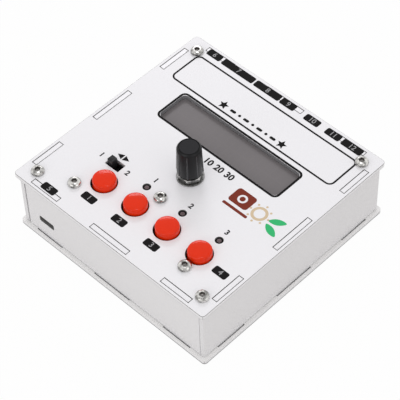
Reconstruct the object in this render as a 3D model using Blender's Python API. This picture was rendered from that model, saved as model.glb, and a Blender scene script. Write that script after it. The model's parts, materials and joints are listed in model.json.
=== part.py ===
"""Desktop morse code keyer: a tabbed aluminium box with a display, an encoder knob, four buttons,
a slide switch and three lights on its top plate, and sockets in its front and back walls.

Metres, +Z up. The origin lies under the centre of the box, on the surface that it stands on, and
the front wall faces -Y."""

import math

import bmesh
import bpy
from mathutils import Vector

MM = 0.001

# Box
PLATE_SIDE = 103.6 * MM
PLATE_THICKNESS = 2.0 * MM
PLATE_CORNER_RADIUS = 2.0 * MM
PLATE_EDGE_BREAK = 0.15 * MM
WALL_THICKNESS = 2.0 * MM
WALL_OVERHANG = 1.55 * MM
WALL_CORNER_GAP = 0.4 * MM
MIDDLE_TAB_LENGTH = 19.5 * MM
OUTER_TAB_LENGTH = 14.3 * MM
OUTER_TAB_FROM_EDGE = 16.1 * MM

# Clearances
SEAT_GAP = 0.2 * MM
SLOT_GAP = 0.2 * MM
HOLE_GAP = 0.25 * MM
RUNNING_GAP = 0.1 * MM
CUT_OVERRUN = 1.0 * MM
MERGE_DISTANCE = 0.0005 * MM

# Screws, standoffs and pillars
SCREW_HEAD_RADIUS = 2.85 * MM
SCREW_HEAD_HEIGHT = 1.65 * MM
SCREW_HEAD_RIM = 0.35 * MM
SCREW_HEAD_FLAT_RADIUS = 1.7 * MM
SCREW_SOCKET_ACROSS = 2.0 * MM
SCREW_SOCKET_DEPTH = 1.0 * MM
SCREW_SHANK_RADIUS = 1.45 * MM
TOP_SCREW_LENGTH = 6.0 * MM
BOTTOM_SCREW_LENGTH = 5.0 * MM
STANDOFF_HEIGHT = 5.0 * MM
STANDOFF_ACROSS = 5.0 * MM
STANDOFF_ROOF = 1.2 * MM
STUD_LENGTH = 5.0 * MM
PILLAR_HEIGHT = 20.0 * MM
PILLAR_WALL_GAP = 0.36 * MM

# Boards
BOARD_THICKNESS = 1.6 * MM
BOARD_CORNER_RADIUS = 1.5 * MM
MAIN_BOARD_EDGE_GAP = 0.75 * MM
CONTROL_BOARD_PILLAR_GAP = 1.0 * MM
CONTROL_BOARD_FRONT_GAP = 2.0 * MM
CONTROL_BOARD_DISPLAY_GAP = 0.7 * MM
BOARD_SPACER_HEIGHT = 6.5 * MM
BOARD_SPACER_RADIUS = 2.75 * MM
BOARD_SPACER_SHANK_RADIUS = 2.0 * MM
LEFT_BOARD_SCREW_FROM_EDGE = 11.5 * MM
RIGHT_BOARD_SCREW_FROM_EDGE = 11.2 * MM
SIDE_BOARD_SCREW_FROM_FRONT = 12.5 * MM
MIDDLE_BOARD_SCREW_FROM_FRONT = 30.0 * MM

# Board components
CONTROLLER_SIDE = 10.0 * MM
CONTROLLER_HEIGHT = 1.4 * MM
CONTROLLER_FROM_FRONT = 30.0 * MM
SOUNDER_RADIUS = 6.0 * MM
SOUNDER_HEIGHT = 8.5 * MM
SOUNDER_X = 24.0 * MM
SOUNDER_PORT_RADIUS = 1.0 * MM
SOUNDER_PORT_DEPTH = 2.0 * MM
PIN_PITCH = 2.54 * MM
PIN_WIDTH = 0.64 * MM
PIN_REACH = 6.0 * MM
PIN_GAP = 0.3 * MM
HEADER_WIDTH = 2.5 * MM
HEADER_SOCKET_HEIGHT = 8.5 * MM
HEADER_STRIP_HEIGHT = 2.5 * MM
DISPLAY_PIN_COUNT = 16
DISPLAY_PIN_FROM_LEFT = 8.0 * MM
DISPLAY_PIN_FROM_BACK = 2.5 * MM
LINK_PIN_COUNT = 8
LINK_FROM_RIGHT = 19.5 * MM
LINK_FROM_BACK = 5.0 * MM

# Display
ENCODER_TO_DISPLAY_BOARD = 4.65 * MM
DISPLAY_BOARD_SOCKET_GAP = 1.05 * MM
DISPLAY_BOARD_PILLAR_GAP = 2.5 * MM
DISPLAY_HEIGHT = 7.0 * MM
BEZEL_SIDE_MARGIN = 4.4 * MM
BEZEL_DEPTH_SHARE = 0.672
WINDOW_SIDE_MARGIN = 3.4 * MM
WINDOW_DEPTH_SHARE = 0.436
WINDOW_CORNER_RADIUS = 1.9 * MM
BEZEL_WALL = 0.5 * MM
BEZEL_WINDOW_MARGIN = 0.25 * MM
DISPLAY_CELL_GAP = 0.3 * MM

# Buttons
BUTTON_COUNT = 4
BUTTON_PITCH = 17.3 * MM
BUTTON_ROW_SHIFT = 4.3 * MM
BUTTON_ROW_FROM_FRONT = 20.8 * MM
BUTTON_HOLE_RADIUS = 5.4 * MM
BUTTON_HOLE_SHIFT = 0.15 * MM
CAP_BASE_RADIUS = 5.0 * MM
CAP_TOP_RADIUS = 4.75 * MM
CAP_EDGE_RADIUS = 1.0 * MM
CAP_DISH_DEPTH = 0.2 * MM
CAP_ABOVE_PLATE = 3.2 * MM
CAP_FLANGE_RADIUS = 6.0 * MM
CAP_FLANGE_FLAT_FROM_AXIS = 5.2 * MM
CAP_FLANGE_HEIGHT = 1.0 * MM
CAP_FLANGE_GAP = 0.3 * MM
CAP_WALL = 1.0 * MM
CAP_STEM_RADIUS = 1.75 * MM
CAP_STEM_LENGTH = 3.0 * MM
BUTTON_TRAVEL = 0.3 * MM
SWITCH_SIDE = 6.0 * MM
SWITCH_HEIGHT = 3.5 * MM
SWITCH_CORNER_CUT = 0.5 * MM

# Slide switch
SLIDE_FROM_EDGE = 16.05 * MM
SLIDE_FROM_FRONT = 30.25 * MM
SLIDE_GUIDE_WALL = 0.35 * MM
SLIDE_HOUSING_WIDTH = 11.6 * MM
SLIDE_HOUSING_DEPTH = 6.0 * MM
SLIDE_GUIDE_BELOW_FACE = 1.2 * MM
SLIDE_TRAVEL = 3.0 * MM
LEVER_WIDTH = 2.7 * MM
LEVER_DEPTH = 2.95 * MM
LEVER_ABOVE_PLATE = 2.5 * MM
LEVER_EDGE_BREAK = 0.2 * MM
LEVER_FOOT_OVERHANG = 0.5 * MM
LEVER_FOOT_HEIGHT = 1.0 * MM
LEVER_FOOT_BELOW_PLATE = 2.0 * MM

# Indicator lights
LIGHT_COUNT = 3
LIGHT_PITCH = 19.52 * MM
LIGHT_ROW_SHIFT = 11.5 * MM
LIGHT_ROW_FROM_FRONT = 30.5 * MM
LIGHT_HOLE_RADIUS = 1.65 * MM
LIGHT_RADIUS = 1.5 * MM
LIGHT_HEIGHT = 5.3 * MM
LIGHT_CROWN = 0.4 * MM
LIGHT_RIM_RADIUS = 1.9 * MM
LIGHT_RIM_HEIGHT = 1.0 * MM
LIGHT_BELOW_FACE = 0.2 * MM
LIGHT_LEG_WIDTH = 0.5 * MM
LIGHT_LEG_PITCH = 2.0 * MM

# Encoder
ENCODER_X = 0.7 * MM
ENCODER_FROM_FRONT = 45.85 * MM
ENCODER_SIDE = 12.0 * MM
ENCODER_CORNER_CUT = 1.0 * MM
BUSH_RADIUS = 3.5 * MM
BUSH_LENGTH = 7.0 * MM
SHAFT_RADIUS = 3.0 * MM
SHAFT_LENGTH = 15.0 * MM
SHAFT_FLAT_FROM_AXIS = 1.5 * MM
SHAFT_TIP_BREAK = 0.4 * MM
SHAFT_FOOT_BELOW_PLATE = 2.9 * MM
PLUNGER_RADIUS = 1.4 * MM
PLUNGER_LENGTH = 2.4 * MM
PUSH_TRAVEL = 0.5 * MM
WASHER_RADIUS = 5.6 * MM
WASHER_THICKNESS = 0.4 * MM
NUT_ACROSS = 9.0 * MM
NUT_HEIGHT = 1.8 * MM
NUT_EDGE_BREAK = 0.3 * MM

# Knob
KNOB_ABOVE_PLATE = 4.1 * MM
KNOB_HEIGHT = 13.6 * MM
KNOB_BASE_RADIUS = 5.2 * MM
KNOB_SHOULDER_RADIUS = 4.8 * MM
KNOB_TOP_RADIUS = 4.15 * MM
KNOB_CHAMFER_DROP = 0.9 * MM
KNOB_RIB_BELOW_CHAMFER = 0.2 * MM
KNOB_RIB_COUNT = 8
KNOB_RIB_HEIGHT = 0.18 * MM
KNOB_RIB_WIDTH = 0.7 * MM
KNOB_RIB_TURN = math.radians(-56.0)
KNOB_RECESS_RADIUS = 4.0 * MM
KNOB_RECESS_DEPTH = 2.5 * MM
KNOB_BORE_GAP = 0.2 * MM

# Sockets
USB_WIDTH = 7.5 * MM
USB_HEIGHT = 2.6 * MM
USB_DEPTH = 5.6 * MM
USB_CORNER_CUT = 0.7 * MM
USB_SHELL_WALL = 0.3 * MM
USB_TONGUE_WIDTH = 3.8 * MM
USB_TONGUE_HEIGHT = 0.6 * MM
USB_TONGUE_RECESS = 1.0 * MM
USB_SLOT_WIDTH = 8.35 * MM
USB_SLOT_HEIGHT = 3.1 * MM
USB_SLOT_RADIUS = 0.8 * MM
FRONT_USB_FROM_LEFT = 14.9 * MM
HOST_WIDTH = 13.1 * MM
HOST_HEIGHT = 5.7 * MM
HOST_DEPTH = 14.0 * MM
HOST_SHELL_WALL = 0.4 * MM
HOST_TONGUE_WIDTH = 11.1 * MM
HOST_TONGUE_HEIGHT = 1.9 * MM
HOST_TONGUE_RECESS = 2.6 * MM
HOST_TONGUE_FROM_ROOF = 0.5 * MM
HOST_BELOW_FACE = 0.5 * MM
JACK_COUNT = 5
JACK_WIDTH = 7.6 * MM
JACK_HEIGHT = 5.0 * MM
JACK_DEPTH = 12.0 * MM
JACK_BARREL_RADIUS = 2.45 * MM
JACK_BORE_RADIUS = 1.8 * MM
JACK_BORE_FLOOR = 1.5 * MM
JACK_BELOW_FACE = 0.3 * MM
FIRST_SOCKET_GAP = 0.55 * MM
LAST_SOCKET_GAP = 2.0 * MM
SOCKET_GAP_SHARES = (0.127, 0.2475, 0.146, 0.234, 0.1495, 0.096)

# Facets of round forms
FINE_SIDES = 28
CAP_SIDES = 24
SCREW_SIDES = 18
PLAIN_SIDES = 12
ARC_STEPS = 4

# Levels, from the surface that the box stands on
BOTTOM_PLATE_LOW = SCREW_HEAD_HEIGHT + SEAT_GAP
BOTTOM_PLATE_HIGH = BOTTOM_PLATE_LOW + PLATE_THICKNESS
MAIN_BOARD_LOW = BOTTOM_PLATE_HIGH + STANDOFF_HEIGHT
MAIN_BOARD_HIGH = MAIN_BOARD_LOW + BOARD_THICKNESS
TOP_PLATE_LOW = MAIN_BOARD_HIGH + PILLAR_HEIGHT
TOP_PLATE_HIGH = TOP_PLATE_LOW + PLATE_THICKNESS
CONTROL_BOARD_HIGH = TOP_PLATE_LOW - BOARD_SPACER_HEIGHT
CONTROL_BOARD_LOW = CONTROL_BOARD_HIGH - BOARD_THICKNESS
DISPLAY_BOARD_LOW = MAIN_BOARD_HIGH + HEADER_SOCKET_HEIGHT + HEADER_STRIP_HEIGHT
DISPLAY_BOARD_HIGH = DISPLAY_BOARD_LOW + BOARD_THICKNESS
BEZEL_HIGH = DISPLAY_BOARD_HIGH + DISPLAY_HEIGHT
KNOB_LOW = TOP_PLATE_HIGH + KNOB_ABOVE_PLATE
SHAFT_FLAT_LOW = KNOB_LOW + KNOB_RECESS_DEPTH - KNOB_BORE_GAP

# Places across the box
HALF_PLATE = PLATE_SIDE / 2
WALL_OUTER = HALF_PLATE - WALL_OVERHANG
WALL_INNER = WALL_OUTER - WALL_THICKNESS
WALL_HEIGHT = TOP_PLATE_LOW - BOTTOM_PLATE_HIGH - 2 * SEAT_GAP
STANDOFF_CORNER_RADIUS = STANDOFF_ACROSS / math.sqrt(3)
CORNER_SCREW = WALL_INNER - PILLAR_WALL_GAP - STANDOFF_CORNER_RADIUS
SCREW_HOLE_RADIUS = SCREW_SHANK_RADIUS + HOLE_GAP
MIDDLE_BOARD_SCREW_Y = MIDDLE_BOARD_SCREW_FROM_FRONT - HALF_PLATE
SIDE_BOARD_SCREW_Y = SIDE_BOARD_SCREW_FROM_FRONT - HALF_PLATE
BUTTON_Y = BUTTON_ROW_FROM_FRONT - HALF_PLATE
SLIDE_Y = SLIDE_FROM_FRONT - HALF_PLATE
LIGHT_Y = LIGHT_ROW_FROM_FRONT - HALF_PLATE
ENCODER_Y = ENCODER_FROM_FRONT - HALF_PLATE
PILLAR_INNER = CORNER_SCREW - STANDOFF_ACROSS / 2
DISPLAY_BOARD_FRONT = ENCODER_Y + ENCODER_TO_DISPLAY_BOARD
DISPLAY_BOARD_BACK = WALL_OUTER - HOST_BELOW_FACE - HOST_DEPTH - DISPLAY_BOARD_SOCKET_GAP
DISPLAY_BOARD_DEPTH = DISPLAY_BOARD_BACK - DISPLAY_BOARD_FRONT
DISPLAY_BOARD_WIDTH = 2 * (PILLAR_INNER - DISPLAY_BOARD_PILLAR_GAP)
DISPLAY_Y = (DISPLAY_BOARD_FRONT + DISPLAY_BOARD_BACK) / 2
BEZEL_WIDTH = DISPLAY_BOARD_WIDTH - 2 * BEZEL_SIDE_MARGIN
BEZEL_DEPTH = DISPLAY_BOARD_DEPTH * BEZEL_DEPTH_SHARE
WINDOW_WIDTH = BEZEL_WIDTH - 2 * WINDOW_SIDE_MARGIN
WINDOW_DEPTH = DISPLAY_BOARD_DEPTH * WINDOW_DEPTH_SHARE
MAIN_BOARD_SIDE = 2 * (WALL_INNER - MAIN_BOARD_EDGE_GAP)
CONTROL_BOARD_WIDTH = 2 * (PILLAR_INNER - CONTROL_BOARD_PILLAR_GAP)
CONTROL_BOARD_FRONT = CONTROL_BOARD_FRONT_GAP - WALL_INNER
CONTROL_BOARD_BACK = DISPLAY_BOARD_FRONT - CONTROL_BOARD_DISPLAY_GAP
SLIDE_X = SLIDE_FROM_EDGE - CONTROL_BOARD_WIDTH / 2
LINK_X = CONTROL_BOARD_WIDTH / 2 - LINK_FROM_RIGHT
BOARD_SCREWS = {
    "left": (LEFT_BOARD_SCREW_FROM_EDGE - CONTROL_BOARD_WIDTH / 2, SIDE_BOARD_SCREW_Y),
    "middle": (0, MIDDLE_BOARD_SCREW_Y),
    "right": (CONTROL_BOARD_WIDTH / 2 - RIGHT_BOARD_SCREW_FROM_EDGE, SIDE_BOARD_SCREW_Y),
}
CORNERS = {
    "front_left": (-CORNER_SCREW, -CORNER_SCREW),
    "front_right": (CORNER_SCREW, -CORNER_SCREW),
    "back_left": (-CORNER_SCREW, CORNER_SCREW),
    "back_right": (CORNER_SCREW, CORNER_SCREW),
}
BUTTON_XS = [
    BUTTON_ROW_SHIFT + BUTTON_PITCH * (index - (BUTTON_COUNT - 1) / 2)
    for index in range(BUTTON_COUNT)
]
LIGHT_XS = [
    LIGHT_ROW_SHIFT + LIGHT_PITCH * (index - (LIGHT_COUNT - 1) / 2)
    for index in range(LIGHT_COUNT)
]
FRONT_USB_X = FRONT_USB_FROM_LEFT - HALF_PLATE
SOCKET_WIDTHS = (USB_WIDTH, HOST_WIDTH) + (JACK_WIDTH,) * JACK_COUNT
SOCKET_ROW_LENGTH = 2 * PILLAR_INNER - FIRST_SOCKET_GAP - LAST_SOCKET_GAP
SOCKET_FREE_LENGTH = SOCKET_ROW_LENGTH - sum(SOCKET_WIDTHS)
USB_Z = MAIN_BOARD_HIGH + SEAT_GAP + USB_HEIGHT / 2
HOST_Z = MAIN_BOARD_HIGH + SEAT_GAP + HOST_HEIGHT / 2
JACK_Z = MAIN_BOARD_HIGH + SEAT_GAP + JACK_HEIGHT / 2
SLIDE_SLOT_WIDTH = LEVER_WIDTH + SLIDE_TRAVEL + 2 * SEAT_GAP
SLIDE_SLOT_DEPTH = LEVER_DEPTH + 2 * SEAT_GAP
SLIDE_WINDOW_WIDTH = SLIDE_SLOT_WIDTH + 2 * (SLIDE_GUIDE_WALL + SLOT_GAP)
SLIDE_WINDOW_DEPTH = SLIDE_SLOT_DEPTH + 2 * (SLIDE_GUIDE_WALL + SLOT_GAP)

# Local axes of what stands upright: x along it, y up, z out of the box
FACING_FRONT = (math.pi / 2, 0, 0)
FACING_BACK = (math.pi / 2, 0, math.pi)
FACING_LEFT = (math.pi / 2, 0, -math.pi / 2)
FACING_RIGHT = (math.pi / 2, 0, math.pi / 2)


def socket_row():
    """The middle of each rear socket. They stand one after another between the back pillars."""
    middles = []
    edge = FIRST_SOCKET_GAP - PILLAR_INNER
    for width, gap_share in zip(SOCKET_WIDTHS, (*SOCKET_GAP_SHARES, 0)):
        middles.append(edge + width / 2)
        edge += width + gap_share * SOCKET_FREE_LENGTH
    return middles


REAR_USB_X, HOST_X, *JACK_XS = socket_row()


def clear_scene():
    for obj in list(bpy.data.objects):
        bpy.data.objects.remove(obj, do_unlink=True)


def finish(name, colour, roughness, metallic=0.0):
    """A plain Principled material."""
    material = bpy.data.materials.new(name)
    material.use_nodes = True
    shader = material.node_tree.nodes["Principled BSDF"]
    shader.inputs["Base Color"].default_value = (*colour, 1.0)
    shader.inputs["Roughness"].default_value = roughness
    shader.inputs["Metallic"].default_value = metallic
    material.diffuse_color = (*colour, 1.0)
    return material


def make_finishes():
    return {
        "panel": finish("pale_anodised_aluminium", (0.82, 0.82, 0.84), 0.45, 0.6),
        "nickel": finish("nickel_plated_steel", (0.72, 0.70, 0.66), 0.25, 1.0),
        "brass": finish("plated_brass", (0.66, 0.62, 0.50), 0.35, 1.0),
        "board": finish("board_green", (0.03, 0.16, 0.07), 0.5),
        "black": finish("black_plastic", (0.015, 0.015, 0.017), 0.4),
        "red": finish("red_plastic", (0.76, 0.05, 0.02), 0.3),
        "glass": finish("unlit_display", (0.18, 0.17, 0.17), 0.1),
        "light": finish("dark_lens", (0.08, 0.06, 0.065), 0.15),
    }


def circle(radius, sides, centre=(0, 0)):
    return [
        (
            centre[0] + radius * math.cos(math.tau * index / sides),
            centre[1] + radius * math.sin(math.tau * index / sides),
        )
        for index in range(sides)
    ]


def rectangle(width, depth, centre=(0, 0)):
    return [
        (centre[0] + width / 2 * side_x, centre[1] + depth / 2 * side_y)
        for side_x, side_y in ((-1, -1), (1, -1), (1, 1), (-1, 1))
    ]


def rounded_rectangle(width, depth, radius, centre=(0, 0)):
    """Corner arcs joined by straight sides, anticlockwise from the front left corner."""
    points = []
    for quarter, (side_x, side_y) in enumerate(((-1, -1), (1, -1), (1, 1), (-1, 1))):
        for step in range(ARC_STEPS + 1):
            angle = math.pi + math.pi / 2 * (quarter + step / ARC_STEPS)
            points.append(
                (
                    centre[0] + side_x * (width / 2 - radius) + radius * math.cos(angle),
                    centre[1] + side_y * (depth / 2 - radius) + radius * math.sin(angle),
                )
            )
    return points


def cut_corner_rectangle(width, depth, cut, centre=(0, 0)):
    """A rectangle whose four corners are cut off at 45 degrees."""
    points = []
    for side_x, side_y in ((-1, -1), (1, -1), (1, 1), (-1, 1)):
        along = (side_x * (width / 2 - cut), side_y * depth / 2)
        beside = (side_x * width / 2, side_y * (depth / 2 - cut))
        pair = (beside, along) if side_x == side_y else (along, beside)
        points.extend((centre[0] + x, centre[1] + y) for x, y in pair)
    return points


def add_prism(mesh, outline, low, high):
    """A closed prism on an anticlockwise outline, added to a bmesh."""
    floor = [mesh.verts.new((x, y, low)) for x, y in outline]
    roof = [mesh.verts.new((x, y, high)) for x, y in outline]
    mesh.faces.new(reversed(floor))
    mesh.faces.new(roof)
    for index in range(len(outline)):
        after = (index + 1) % len(outline)
        mesh.faces.new((floor[index], floor[after], roof[after], roof[index]))


def prisms(*pieces):
    mesh = bmesh.new()
    for outline, low, high in pieces:
        add_prism(mesh, outline, low, high)
    return mesh


def polar_ring(radius_at, height, angles):
    """A ring round the local Z axis, or one point where the radius is zero."""
    if radius_at is None:
        return [Vector((0, 0, height))]
    if not callable(radius_at):
        radius = radius_at
        radius_at = lambda angle: radius
    return [
        Vector((radius_at(angle) * math.cos(angle), radius_at(angle) * math.sin(angle), height))
        for angle in angles
    ]


def even_angles(sides):
    return [math.tau * index / sides for index in range(sides)]


def loft(rings, closed=False):
    """Skins rings that lie one after another. A closed loft is a tube whose last ring meets its first."""
    mesh = bmesh.new()
    made = [[mesh.verts.new(point) for point in ring] for ring in rings]
    pairs = list(zip(made, made[1:]))
    if closed:
        pairs.append((made[-1], made[0]))
    for first, second in pairs:
        count = max(len(first), len(second))
        for index in range(count):
            after = (index + 1) % count
            corners = [first[index % len(first)], first[after % len(first)]]
            corners += [second[after % len(second)], second[index % len(second)]]
            mesh.faces.new(list(dict.fromkeys(corners)))
    bmesh.ops.remove_doubles(mesh, verts=mesh.verts, dist=MERGE_DISTANCE)
    bmesh.ops.recalc_face_normals(mesh, faces=mesh.faces)
    return mesh


def turned(profile, sides, closed=False):
    """A profile of (radius, height) pairs turned round Z; a radius of None is a point on the axis."""
    angles = even_angles(sides)
    return loft([polar_ring(radius, height, angles) for radius, height in profile], closed)


def six_sided(across):
    """The polar radius of a hexagon that has corners at 0, 60, 120 degrees and so on."""
    sixth = math.pi / 3

    def radius_at(angle):
        return across / 2 / math.cos(angle % sixth - sixth / 2)

    return radius_at


def flatted(radius, flat_from_axis):
    """The polar radius of a round bar with one flat, which faces +X."""

    def radius_at(angle):
        reach = math.cos(angle)
        if reach * radius > flat_from_axis:
            return flat_from_axis / reach
        return radius

    return radius_at


def mesh_data(name, mesh, material, smooth=False):
    data = bpy.data.meshes.new(name)
    mesh.to_mesh(data)
    mesh.free()
    data.materials.append(material)
    if smooth:
        data.shade_smooth()
        data.set_sharp_from_angle(angle=math.radians(35))
    return data


def place(name, data, location=(0, 0, 0), turn=(0, 0, 0)):
    obj = bpy.data.objects.new(name, data)
    bpy.context.collection.objects.link(obj)
    obj.location = location
    obj.rotation_euler = turn
    return obj


def hidden_shape(name, mesh, owner):
    """A shape for a Boolean, which stays out of renders and follows the object that it works on."""
    data = bpy.data.meshes.new(name)
    mesh.to_mesh(data)
    mesh.free()
    obj = place(name, data)
    obj.parent = owner
    obj.hide_render = True
    obj.display_type = "WIRE"
    return obj


def boolean(obj, operation, mesh):
    shape = hidden_shape(f"{obj.name}_{operation.lower()}_{len(obj.modifiers)}", mesh, obj)
    modifier = obj.modifiers.new(operation.title(), "BOOLEAN")
    modifier.operation = operation
    modifier.solver = "EXACT"
    modifier.object = shape
    return obj


def cut(obj, *pieces):
    return boolean(obj, "DIFFERENCE", prisms(*pieces))


def join(obj, *pieces):
    return boolean(obj, "UNION", prisms(*pieces))


def break_edges(obj, width):
    """A small flat on the sharp edges of a flat piece."""
    modifier = obj.modifiers.new("Edge break", "BEVEL")
    modifier.width = width
    modifier.segments = 1
    modifier.limit_method = "ANGLE"
    modifier.angle_limit = math.radians(60)
    return obj


def tab_row():
    """Centre and length of each tab along one side, measured from the side's middle."""
    outer = HALF_PLATE - OUTER_TAB_FROM_EDGE
    return [
        (-outer, OUTER_TAB_LENGTH),
        (0, MIDDLE_TAB_LENGTH),
        (outer, OUTER_TAB_LENGTH),
    ]


def tab_slots():
    """Outlines of the twelve slots that the wall tabs pass through."""
    middle = WALL_OUTER - WALL_THICKNESS / 2
    width = WALL_THICKNESS + 2 * SLOT_GAP
    outlines = []
    for along, length in tab_row():
        for side in (-middle, middle):
            outlines.append(rectangle(length + 2 * SLOT_GAP, width, (along, side)))
            outlines.append(rectangle(width, length + 2 * SLOT_GAP, (side, along)))
    return outlines


def plate(name, material, low, outlines):
    outline = rounded_rectangle(PLATE_SIDE, PLATE_SIDE, PLATE_CORNER_RADIUS)
    data = mesh_data(name, prisms((outline, 0, PLATE_THICKNESS)), material)
    obj = break_edges(place(name, data, (0, 0, low)), PLATE_EDGE_BREAK)
    through = [(shape, -CUT_OVERRUN, PLATE_THICKNESS + CUT_OVERRUN) for shape in outlines]
    return cut(obj, *through)


def make_top_plate(finishes):
    outlines = tab_slots()
    for centre in list(CORNERS.values()) + list(BOARD_SCREWS.values()):
        outlines.append(circle(SCREW_HOLE_RADIUS, SCREW_SIDES, centre))
    for x in BUTTON_XS:
        centre = (x - BUTTON_HOLE_SHIFT, BUTTON_Y - BUTTON_HOLE_SHIFT)
        outlines.append(circle(BUTTON_HOLE_RADIUS, FINE_SIDES, centre))
    for x in LIGHT_XS:
        outlines.append(circle(LIGHT_HOLE_RADIUS, SCREW_SIDES, (x, LIGHT_Y)))
    outlines.append(circle(BUSH_RADIUS + HOLE_GAP, CAP_SIDES, (ENCODER_X, ENCODER_Y)))
    outlines.append(
        rounded_rectangle(WINDOW_WIDTH, WINDOW_DEPTH, WINDOW_CORNER_RADIUS, (0, DISPLAY_Y))
    )
    outlines.append(rectangle(SLIDE_WINDOW_WIDTH, SLIDE_WINDOW_DEPTH, (SLIDE_X, SLIDE_Y)))
    plate("top_plate", finishes["panel"], TOP_PLATE_LOW, outlines)


def make_bottom_plate(finishes):
    outlines = tab_slots()
    for centre in CORNERS.values():
        outlines.append(circle(SCREW_HOLE_RADIUS, SCREW_SIDES, centre))
    plate("bottom_plate", finishes["panel"], BOTTOM_PLATE_LOW, outlines)


def wall_outline(length):
    """A wall seen from outside, with tabs that pass through both plates and end flush with them."""
    reach = SEAT_GAP + PLATE_THICKNESS
    points = [(-length / 2, 0)]
    for along, tab in tab_row():
        points.extend(
            (
                (along - tab / 2, 0),
                (along - tab / 2, -reach),
                (along + tab / 2, -reach),
                (along + tab / 2, 0),
            )
        )
    points.append((length / 2, 0))
    upper = [(x, WALL_HEIGHT - y) for x, y in reversed(points)]
    return points + upper


def wall(name, material, length, location, turn):
    data = mesh_data(name, prisms((wall_outline(length), -WALL_THICKNESS, 0)), material)
    return place(name, data, (*location, BOTTOM_PLATE_HIGH + SEAT_GAP), turn)


def through_wall(outline):
    return (outline, -WALL_THICKNESS - CUT_OVERRUN, CUT_OVERRUN)


def make_walls(finishes):
    panel = finishes["panel"]
    side_length = 2 * WALL_OUTER
    front_length = 2 * (WALL_INNER - WALL_CORNER_GAP)
    foot = BOTTOM_PLATE_HIGH + SEAT_GAP
    wall("left_wall", panel, side_length, (-WALL_OUTER, 0), FACING_LEFT)
    wall("right_wall", panel, side_length, (WALL_OUTER, 0), FACING_RIGHT)
    front = wall("front_wall", panel, front_length, (0, -WALL_OUTER), FACING_FRONT)
    slot = (USB_SLOT_WIDTH, USB_SLOT_HEIGHT, USB_SLOT_RADIUS)
    cut(front, through_wall(rounded_rectangle(*slot, (FRONT_USB_X, USB_Z - foot))))
    back = wall("back_wall", panel, front_length, (0, WALL_OUTER), FACING_BACK)
    host = (HOST_WIDTH + 2 * HOLE_GAP, HOST_HEIGHT + 2 * HOLE_GAP)
    openings = [
        rounded_rectangle(*slot, (-REAR_USB_X, USB_Z - foot)),
        rectangle(*host, (-HOST_X, HOST_Z - foot)),
    ]
    for x in JACK_XS:
        centre = (-x, JACK_Z - foot)
        openings.append(circle(JACK_BARREL_RADIUS + HOLE_GAP, SCREW_SIDES, centre))
    cut(back, *(through_wall(outline) for outline in openings))


def button_head_screw(length, sides):
    """A button head with a hexagon socket; the seat of the head is at zero and the shank below it."""
    angles = even_angles(sides)
    socket = six_sided(SCREW_SOCKET_ACROSS)
    rings = [
        polar_ring(None, SCREW_HEAD_HEIGHT - SCREW_SOCKET_DEPTH, angles),
        polar_ring(socket, SCREW_HEAD_HEIGHT - SCREW_SOCKET_DEPTH, angles),
        polar_ring(socket, SCREW_HEAD_HEIGHT, angles),
        polar_ring(SCREW_HEAD_FLAT_RADIUS, SCREW_HEAD_HEIGHT, angles),
    ]
    dome_width = SCREW_HEAD_RADIUS - SCREW_HEAD_FLAT_RADIUS
    dome_height = SCREW_HEAD_HEIGHT - SCREW_HEAD_RIM
    for step in range(1, ARC_STEPS):
        angle = math.pi / 2 * (1 - step / (ARC_STEPS - 1))
        radius = SCREW_HEAD_FLAT_RADIUS + dome_width * math.cos(angle)
        rings.append(polar_ring(radius, SCREW_HEAD_RIM + dome_height * math.sin(angle), angles))
    rings += [
        polar_ring(SCREW_HEAD_RADIUS, 0, angles),
        polar_ring(SCREW_SHANK_RADIUS, 0, angles),
        polar_ring(SCREW_SHANK_RADIUS, -length, angles),
        polar_ring(None, -length, angles),
    ]
    return loft(rings)


def make_screws(finishes):
    top = mesh_data(
        "top_screw", button_head_screw(TOP_SCREW_LENGTH, SCREW_SIDES), finishes["nickel"], True
    )
    bottom = mesh_data(
        "bottom_screw",
        button_head_screw(BOTTOM_SCREW_LENGTH, PLAIN_SIDES),
        finishes["nickel"],
        True,
    )
    seat = TOP_PLATE_HIGH + SEAT_GAP
    for where, (x, y) in CORNERS.items():
        place(f"top_screw_{where}", top, (x, y, seat))
        place(f"bottom_screw_{where}", bottom, (x, y, SCREW_HEAD_HEIGHT), (math.pi, 0, 0))
    for where, (x, y) in BOARD_SCREWS.items():
        place(f"board_screw_{where}", top, (x, y, seat))


def make_corner_stacks(finishes):
    """Lower standoffs with a stud through the main board, and pillars from there to the top plate."""
    angles = even_angles(PLAIN_SIDES)
    hexagon = six_sided(STANDOFF_ACROSS)
    body = STANDOFF_HEIGHT - 2 * SEAT_GAP
    standoff = loft(
        [
            polar_ring(None, body - STANDOFF_ROOF, angles),
            polar_ring(SCREW_HOLE_RADIUS, body - STANDOFF_ROOF, angles),
            polar_ring(SCREW_HOLE_RADIUS, 0, angles),
            polar_ring(hexagon, 0, angles),
            polar_ring(hexagon, body, angles),
            polar_ring(SCREW_SHANK_RADIUS, body, angles),
            polar_ring(SCREW_SHANK_RADIUS, body + STUD_LENGTH, angles),
            polar_ring(None, body + STUD_LENGTH, angles),
        ]
    )
    height = PILLAR_HEIGHT - 2 * SEAT_GAP
    pillar = loft(
        [
            polar_ring(SCREW_HOLE_RADIUS, 0, angles),
            polar_ring(hexagon, 0, angles),
            polar_ring(hexagon, height, angles),
            polar_ring(SCREW_HOLE_RADIUS, height, angles),
        ],
        closed=True,
    )
    standoff = mesh_data("lower_standoff", standoff, finishes["brass"])
    pillar = mesh_data("upper_pillar", pillar, finishes["brass"])
    quarter_turn = (0, 0, math.pi / 2)
    for where, (x, y) in CORNERS.items():
        foot = BOTTOM_PLATE_HIGH + SEAT_GAP
        place(f"lower_standoff_{where}", standoff, (x, y, foot), quarter_turn)
        foot = MAIN_BOARD_HIGH + SEAT_GAP
        place(f"upper_pillar_{where}", pillar, (x, y, foot), quarter_turn)


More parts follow.
